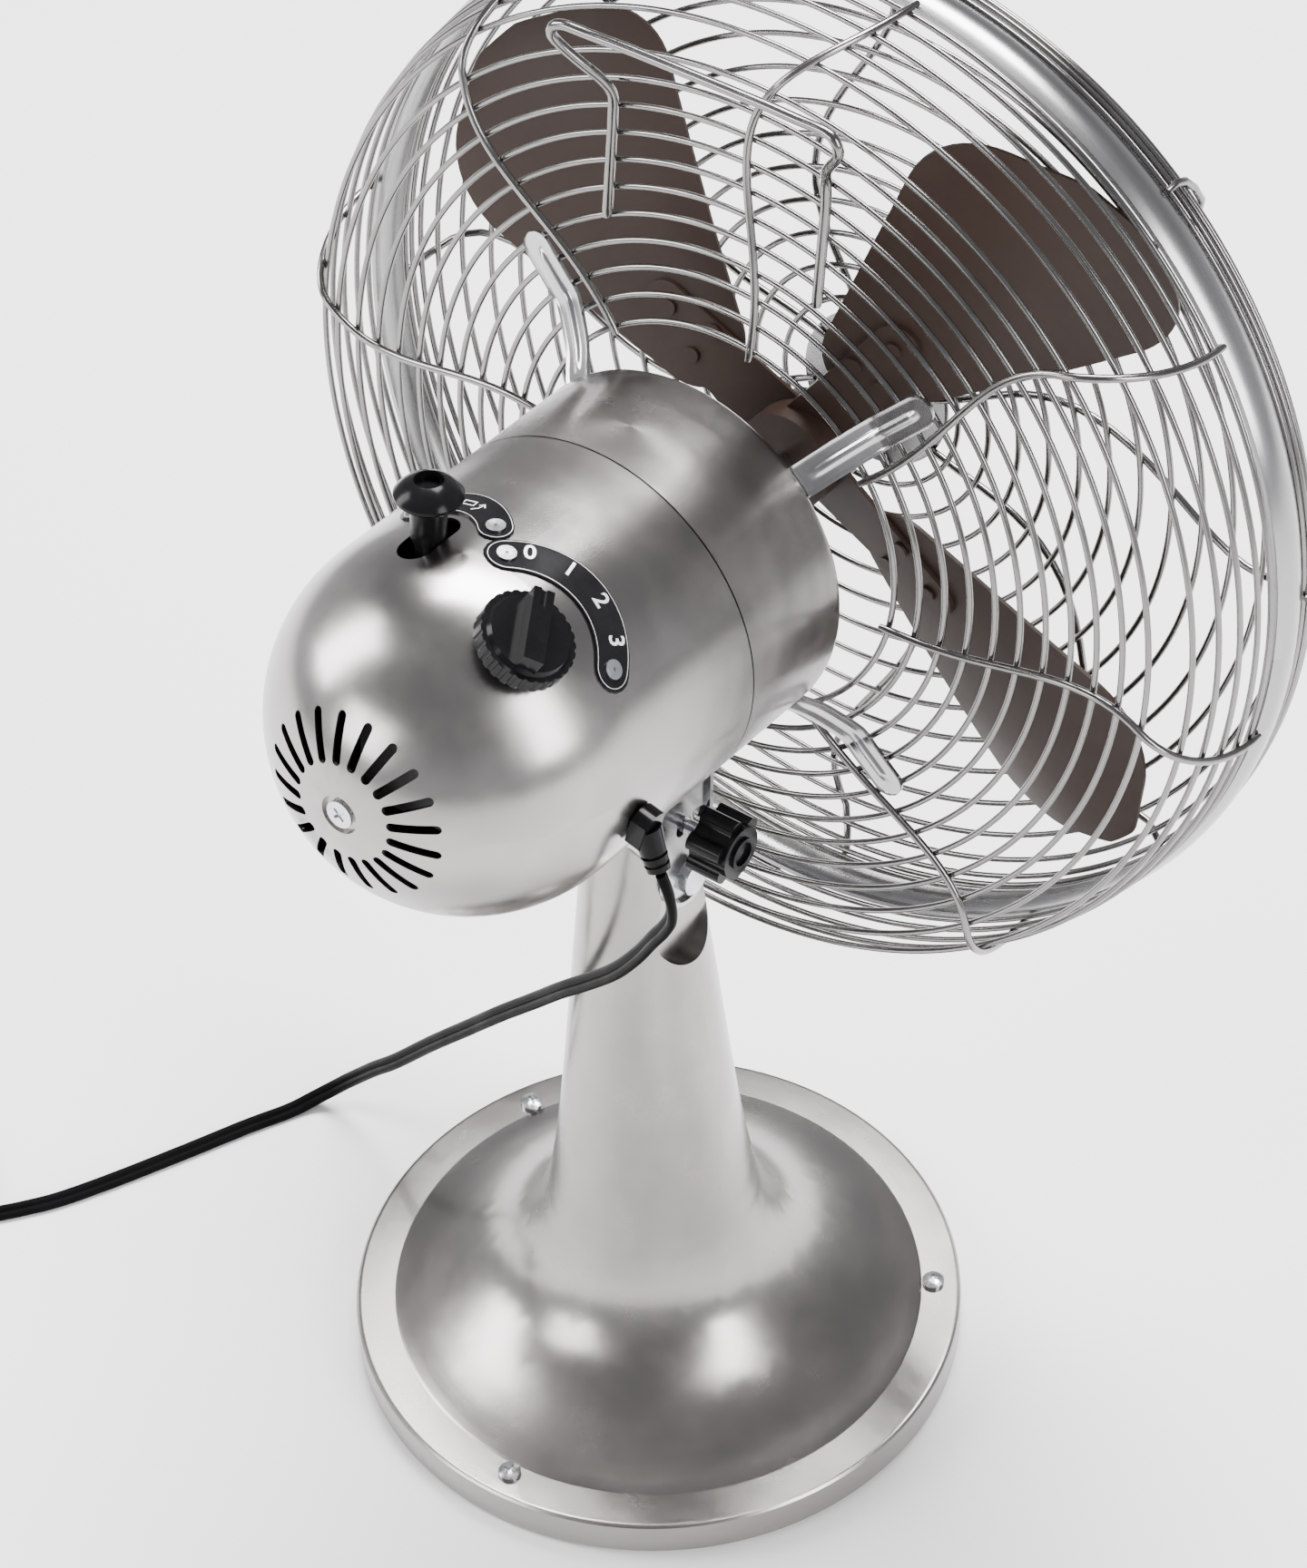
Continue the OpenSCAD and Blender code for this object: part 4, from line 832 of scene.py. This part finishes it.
@dataclass
class Guard:
    """The wire guard: rings, S-shaped wires and the carrying handle, in metres."""

    rim: float = 0.175
    ring_d: float = 0.0020
    spoke_d: float = 0.0026
    pitch: float = 0.0088
    rear_rings: int = 11
    face_y: float = 0.051
    corner_w: float = 0.0185
    band_y: float = 0.100
    front_y: float = 0.134
    front_rings: int = 12
    medal_r: float = 0.028
    spokes: int = 8
    spoke_turn: float = 9.5
    spoke_sweep: float = 46.0
    corner_shares: tuple[float, ...] = (0.36, 0.55, 0.70, 0.83, 0.93)
    drum_y: float = 0.0298
    bracket_w: float = 0.011
    bracket_t: float = 0.0012
    bracket_tip: float = 0.1060
    rib_h: float = 0.0010
    rib_half_w: float = 0.0013
    rib_span: tuple[float, float] = (0.0615, 0.1005)
    rib_run_out: float = 0.003
    lip_h: float = 0.0005
    lip_from: float = 0.82

    @property
    def first_ring(self) -> float:
        """Returns the innermost rear ring's radius."""
        return self.rim - 0.019 - self.pitch * (self.rear_rings - 1)

    def rear_depth(self, r: float) -> float:
        """Returns how far in front of the swivel axis the rear guard's surface is at radius r."""
        if r < self.rim - self.corner_w:
            share = max(0.0, (r - 0.058) / (self.rim - self.corner_w - 0.058)) ** 0.5
            return self.face_y - 0.007 + 0.007 * share
        part = min(1.0, (r - self.rim + self.corner_w) / self.corner_w)
        return self.face_y + (self.band_y - 0.005 - self.face_y) * (1 - max(0.0, 1 - part ** 2.2) ** 0.5)

    def rear_corner(self, t: float) -> float:
        """Returns the radius at share t of the rear corner's turn."""
        return self.rim - self.corner_w + self.corner_w * math.sin(math.radians(90 * t)) ** 0.9

    def front_depth(self, r: float) -> float:
        """Returns how far in front of the swivel axis the front guard's face is at radius r."""
        return self.front_y - 0.008 * (r / (self.rim - 0.012)) ** 2

    def rings(self) -> None:
        """Bends all rings, in the four groups of the CAD nodes."""
        rear = Mesh("guard_rear_rings")
        for k in range(self.rear_rings):
            r = self.first_ring + self.pitch * k
            rear.ring(r, -self.rear_depth(r), self.ring_d)
        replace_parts(rear.make("wire", "head", "guard_wire", 60), "rear_face_rings")
        side = Mesh("guard_rear_side_rings")
        for t in self.corner_shares:
            r = self.rear_corner(t)
            side.ring(r, -self.rear_depth(r), self.ring_d)
        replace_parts(side.make("wire", "head", "guard_wire", 60), "rear_side_rings")
        stack = Mesh("guard_front_side_rings")
        for out, on in ((0.0005, 0.0085), (0.0009, 0.0112), (0.0004, 0.0140), (-0.0012, 0.0170),
                        (-0.0050, 0.0215)):
            stack.ring(self.rim + out, -self.band_y - on, self.ring_d)
        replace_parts(stack.make("wire", "head", "guard_wire", 60), "front_side_rings")
        front = Mesh("guard_front_rings")
        outer = self.rim - 0.012
        for k in range(self.front_rings):
            r = outer - (outer - self.medal_r - 0.006) * k / (self.front_rings - 1)
            front.ring(r, -self.front_depth(r), self.ring_d)
        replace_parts(front.make("wire", "head", "guard_wire", 60), "front_face_rings")

    def wires(self) -> None:
        """Bends the S-shaped wires of both halves, with rounded ends."""
        lift = (self.ring_d + self.spoke_d) / 2 - 0.00035
        start = self.first_ring - 0.0024
        inner = self.rim - self.corner_w
        rear = Mesh("guard_rear_wires")
        for k in range(self.spokes):
            points = []
            for i in range(43):
                t = i / 42
                r = start + (inner - start) * i / 28 if i < 28 else self.rear_corner((i - 28) / 14 * 0.985)
                slope = (self.rear_depth(r + 0.00005) - self.rear_depth(r - 0.00005)) / 0.0001
                normal = Vector((slope, 1.0)).normalized()
                q = (r - start) / (self.rim - start)
                turn = math.radians(self.spoke_turn + 45 * k - self.spoke_sweep * q * (q + 0.12) * (0.99 - q))
                out, y = r + lift * normal[0], lift * normal[1] - self.rear_depth(r)
                points.append(HEAD.matrix @ Vector((-out * math.sin(turn), y, out * math.cos(turn))))
            rear.tube(points, circle(self.spoke_d / 2, 12), Vector((0, 1, 0.01)), scale=rounded)
        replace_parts(rear.make("wire", "head", "guard_wire", 60), "rear_guard_wires")
        front = Mesh("guard_front_wires")
        outer = self.rim - 0.012
        for k in range(self.spokes):
            spots = [(self.rim + lift + 0.0004, 0.1066), (self.rim + lift + 0.0009, 0.1112),
                     (self.rim + lift - 0.0002, 0.116), (self.rim + lift - 0.0036, 0.1216),
                     (self.rim - 0.007, self.band_y + 0.0254 + lift)]
            spots += [(outer + (self.medal_r - 0.004 - outer) * i / 22,) * 2 for i in range(23)]
            points = []
            for n, (r, y) in enumerate(spots):
                depth = y if n < 5 else self.front_depth(r) + lift
                bow = math.sin(math.radians(360 * (r / self.rim - 0.1)))
                turn = math.radians(34 + 45 * k - self.spoke_turn * 1.2 * bow)
                points.append(HEAD.matrix @ Vector((-r * math.sin(turn), -depth, r * math.cos(turn))))
            front.tube(points, circle(self.spoke_d / 2, 12), Vector((0, 1, 0.01)), scale=rounded)
        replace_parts(front.make("wire", "head", "guard_wire", 60), "front_guard_wires")

    def handle(self) -> None:
        """Bends the carrying handle, its grip pressed slightly flat."""
        leg, y0 = 0.039, -self.face_y + 0.0042
        half = ((leg, y0 + 0.0005, 0.093), (leg, y0 + 0.0001, 0.104), (leg, y0 - 0.0004, 0.116),
                (leg, y0 - 0.0008, 0.128), (leg, y0 - 0.0002, 0.136), (leg + 0.002, y0 + 0.003, 0.142),
                (leg + 0.006, y0 + 0.0075, 0.148), (leg + 0.0105, y0 + 0.0115, 0.154),
                (leg + 0.0126, y0 + 0.014, 0.1584), (leg + 0.0116, y0 + 0.0146, 0.162),
                (leg + 0.008, y0 + 0.0144, 0.1636), (leg - 0.002, y0 + 0.014, 0.1636),
                (leg - 0.018, y0 + 0.014, 0.164))
        loop = [(-x, y, z) for x, y, z in half] + [(x, y, z) for x, y, z in reversed(half)]
        place = HEAD.matrix @ Matrix.Translation((0.006, 0, 0))
        path = [place @ p for p in flowing(loop, 0.002)]
        piece = Mesh("carrying_handle")
        piece.tube(path, circle(0.0017, 14), HEAD.matrix.to_3x3() @ Vector((0, 1, 0)), scale=rounded)
        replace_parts(piece.make("wire", "head", "guard_wire", 60), "carry_handle")

    def brackets(self) -> None:
        """Presses the four brackets: a round-ended strip with a raised rib and turned-up edges."""
        bend_in, bend_out = self.drum_y, self.face_y - 0.0053
        line = ((0.0460, bend_in), (0.0575, bend_in), (0.0605, bend_in + 0.0012), (0.0680, bend_in + 0.0078),
                (0.0790, bend_out - 0.0016), (0.0835, bend_out), (0.0880, bend_out + 0.0002),
                (self.bracket_tip, bend_out + 0.0015))
        path = flowing([(0.0, -y, r) for r, y in line], 0.0008)
        half = self.bracket_w / 2
        across = [-half + self.bracket_w * k / 24 for k in range(25)]
        rib_from, rib_to = self.rib_span
        piece = Mesh("guard_bracket_strips")
        for k in range(4):
            place = HEAD.matrix @ Matrix.Rotation(math.radians(45 + 90 * k), 4, "Y")
            rows = []
            for i, at in enumerate(path):
                ahead = (path[min(i + 1, len(path) - 1)] - path[max(i - 1, 0)]).normalized()
                up = Vector((0.0, ahead.z, -ahead.y))
                left = self.bracket_tip - at.z
                width = (max(0.0, half * half - (half - left) ** 2) ** 0.5 / half) if left < half else 1.0
                near = min(1.0, max(0.0, min(at.z - rib_from, rib_to - at.z) / self.rib_run_out))
                rows.append((at, up, max(width, 0.06), near))
            base = len(piece.points)
            for sign in (1, -1):
                for at, up, width, near in rows:
                    for x in across:
                        ridge = self.rib_h * near * math.exp(-(x / self.rib_half_w) ** 4)
                        edge = self.lip_h * max(0.0, abs(x) / half - self.lip_from) / (1 - self.lip_from)
                        lift = ridge + edge + sign * self.bracket_t / 2
                        piece.points.append(place @ (at + Vector((x * width, 0, 0)) + up * lift))
            n, m = len(rows), len(across)
            for i in range(n - 1):
                for j in range(m - 1):
                    a, b = base + i * m + j, base + n * m + i * m + j
                    piece.faces += [(a, a + 1, a + m + 1, a + m), (b, b + m, b + m + 1, b + 1)]
            for i in range(n - 1):
                for j in (0, m - 1):
                    a, b = base + i * m + j, base + n * m + i * m + j
                    piece.faces.append((a, a + m, b + m, b) if j else (a, b, b + m, a + m))
            for i in (0, n - 1):
                for j in range(m - 1):
                    a, b = base + i * m + j, base + n * m + i * m + j
                    piece.faces.append((a, b, b + 1, a + 1) if i else (a, a + 1, b + 1, b))
        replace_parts(piece.make("bracket_metal", "head", "brushed_metal", 40), "guard_brackets")

    def build(self) -> None:
        """Builds the guard's wire work and its brackets."""
        self.rings()
        self.wires()
        self.handle()
        self.brackets()
        log.info("guard wires, handle and brackets are bent")


def rounded(share: float) -> float:
    """Returns a wire's size at a share of its length, drawn in at both ends."""
    return 0.72 if share < 0.002 or share > 0.998 else 1.0


# ---------------------------------------------------------------- labels


@dataclass
class Labels:
    """Digits, borders and the swing sign on the two curved plates."""

    housing: float = 0.061
    lift: float = 0.00080
    speed_turn: float = 31.0
    speed_y: float = 0.097
    swing_x: float = 0.014
    swing_y: float = 0.0805
    digit: float = 0.0058
    digit_ring: float = 0.0335

    def place(self, centre_turn: float, centre_y: float, right: float, up: float, lift: float) -> Vector:
        """Puts a point of a flat drawing onto the housing.

        Args:
            centre_turn: The drawing centre's angle, from the top towards -X, in degrees.
            centre_y: The drawing centre's distance behind the swivel axis.
            right: Distance to -X along the skin.
            up: Distance to the front.
            lift: Height above the housing.

        Returns:
            The point in the row frame.
        """
        radius = self.housing + lift
        turn = math.radians(centre_turn) + right / self.housing
        return HEAD.matrix @ Vector((-radius * math.sin(turn), centre_y - up, radius * math.cos(turn)))

    def outline(self, radius: float, width: float, half: float, steps: int = 26) -> list[tuple[float, float]]:
        """Returns the closed outline of an arched plate round the drawing's centre, as right and up."""
        def at(r: float, turn: float) -> tuple[float, float]:
            """Returns the point at radius r and a turn from straight up, clockwise."""
            return r * math.sin(math.radians(turn)), r * math.cos(math.radians(turn))

        def round_end(turn: float, start: float) -> list[tuple[float, float]]:
            """Returns the half circle at a turn of the plate, from its start direction on."""
            cx, cy = at(radius, turn)
            turns = [math.radians(start + a) for a in range(15, 180, 15)]
            return [(cx + width / 2 * math.sin(a), cy + width / 2 * math.cos(a)) for a in turns]

        points = [at(radius + width / 2, -half + 2 * half * k / steps) for k in range(steps + 1)]
        points += round_end(half, half)
        points += [at(radius - width / 2, half - 2 * half * k / steps) for k in range(steps + 1)]
        return points + round_end(-half, -half + 180)

    def border(self, piece: Mesh, turn: float, y: float, radius: float, width: float, half: float,
               line: float = 0.00016) -> None:
        """Draws a thin line inside a plate's edge."""
        outer = self.outline(radius, width, half)
        inner = self.outline(radius, width - 2 * line, half)
        base = len(piece.points)
        for ring in (outer, inner):
            piece.points += [self.place(turn, y, a, b, self.lift + 0.00004) for a, b in ring]
        n = len(outer)
        for i in range(n):
            j = (i + 1) % n
            piece.faces.append((base + i, base + j, base + n + j, base + n + i))

    def strip(self, piece: Mesh, turn: float, y: float, line: Sequence[tuple[float, float]],
              width: float = 0.00045) -> None:
        """Draws a line of the given width through drawing points."""
        for (ax, ay), (bx, by) in zip(line, line[1:]):
            d = Vector((bx - ax, by - ay)).normalized() * width / 2
            corners = [(ax - d.x - d.y, ay - d.y + d.x), (ax - d.x + d.y, ay - d.y - d.x),
                       (bx + d.x + d.y, by + d.y - d.x), (bx + d.x - d.y, by + d.y + d.x)]
            base = len(piece.points)
            piece.points += [self.place(turn, y, p, q, self.lift + 0.00005) for p, q in corners]
            piece.faces.append((base, base + 1, base + 2, base + 3))

    def digits(self, piece: Mesh) -> None:
        """Adds the digits 0 to 3 round the speed knob."""
        for k, turn in enumerate((-34.0, -12.5, 9.0, 30.5)):
            curve = bpy.data.curves.new("digit", "FONT")
            curve.body = str(k)
            curve.size = self.digit * 1.35
            curve.offset = 0.00012
            curve.align_x, curve.align_y = "CENTER", "CENTER"
            curve.resolution_u = 4
            holder = bpy.data.objects.new("digit", curve)
            bpy.context.scene.collection.objects.link(holder)
            bpy.context.view_layer.update()
            solved = holder.evaluated_get(bpy.context.evaluated_depsgraph_get())
            flat = bpy.data.meshes.new_from_object(solved)
            base = len(piece.points)
            c, s = math.cos(math.radians(turn)), math.sin(math.radians(turn))
            cx, cy = self.digit_ring * s, self.digit_ring * c
            for v in flat.vertices:
                right, up = cx + v.co.x * c + v.co.y * s, cy - v.co.x * s + v.co.y * c
                piece.points.append(self.place(self.speed_turn, self.speed_y, right, up, self.lift + 0.00005))
            piece.faces += [tuple(base + i for i in f.vertices) for f in flat.polygons]
            bpy.data.objects.remove(holder)
            bpy.data.curves.remove(curve)
            bpy.data.meshes.remove(flat)

    def build(self) -> None:
        """Builds the print on both plates."""
        speed = Mesh("speed_plate_print")
        self.border(speed, self.speed_turn, self.speed_y, 0.032, 0.0112, 46)
        self.digits(speed)
        speed.make("print_metal", "head", "black_plate", 30)
        swing_turn = -math.degrees(math.asin(self.swing_x / self.housing))
        swing = Mesh("swing_plate_print")
        self.border(swing, swing_turn, self.swing_y, 0.0195, 0.0102, 47)
        box = [(-0.0021, 0.0186), (-0.0021, 0.0206), (0.0021, 0.0206), (0.0021, 0.0186)]
        self.strip(swing, swing_turn, self.swing_y, box + box[:1])
        arrow = ([(0.0028, 0.0168), (0.0044, 0.0180), (0.0050, 0.0200)],
                 [(0.0038, 0.0196), (0.0050, 0.0204), (0.0059, 0.0192)])
        for side in (-1, 1):
            for line in arrow:
                self.strip(swing, swing_turn, self.swing_y, [(side * x, up) for x, up in line])
        swing.make("print_metal", "head", "black_plate", 30)
        log.info("plates are printed")


# ---------------------------------------------------------------- all of it


def dress_nodes() -> None:
    """Gives every CAD node its finish."""
    for finish, names in WORN_BY.items():
        for name in names:
            mesh = NODES[name].data
            mesh.materials.clear()
            mesh.materials.append(FINISHES.get(finish))
    log.info("%d CAD nodes are dressed", sum(len(n) for n in WORN_BY.values()))


def smooth_bands(name: str, crisp_deg: float = 16.0) -> None:
    """Shades a turned node as one smooth surface, by averaging its faces' normals at each shared corner.

    Args:
        name: The CAD node, which is turned from many narrow bands.
        crisp_deg: Faces that meet more sharply than this keep a crisp edge.
    """
    mesh = NODES[name].data
    limit = math.cos(math.radians(crisp_deg))
    around: dict[tuple[int, ...], list[tuple[Vector, float]]] = {}
    for face in mesh.polygons:
        for i in face.vertices:
            place = tuple(round(c * 1e6) for c in mesh.vertices[i].co)
            around.setdefault(place, []).append((face.normal.copy(), face.area))
    normals = []
    for face in mesh.polygons:
        for i in face.vertices:
            place = tuple(round(c * 1e6) for c in mesh.vertices[i].co)
            near = [(n, a) for n, a in around[place] if n.dot(face.normal) > limit]
            normals.append(sum((n * a for n, a in near), Vector()).normalized())
    mesh.polygons.foreach_set("use_smooth", [True] * len(mesh.polygons))
    mesh.normals_split_custom_set(normals)
    log.info("%s is shaded smooth", name)


def main() -> None:
    """Builds the whole fan and its studio."""
    logging.basicConfig(level=logging.INFO, format="%(name)s: %(message)s")
    Studio().build()
    PowerCord().build()
    dress_nodes()
    smooth_bands("base_shell")
    Guard().build()
    Labels().build()


if __name__ == "__main__":
    main()
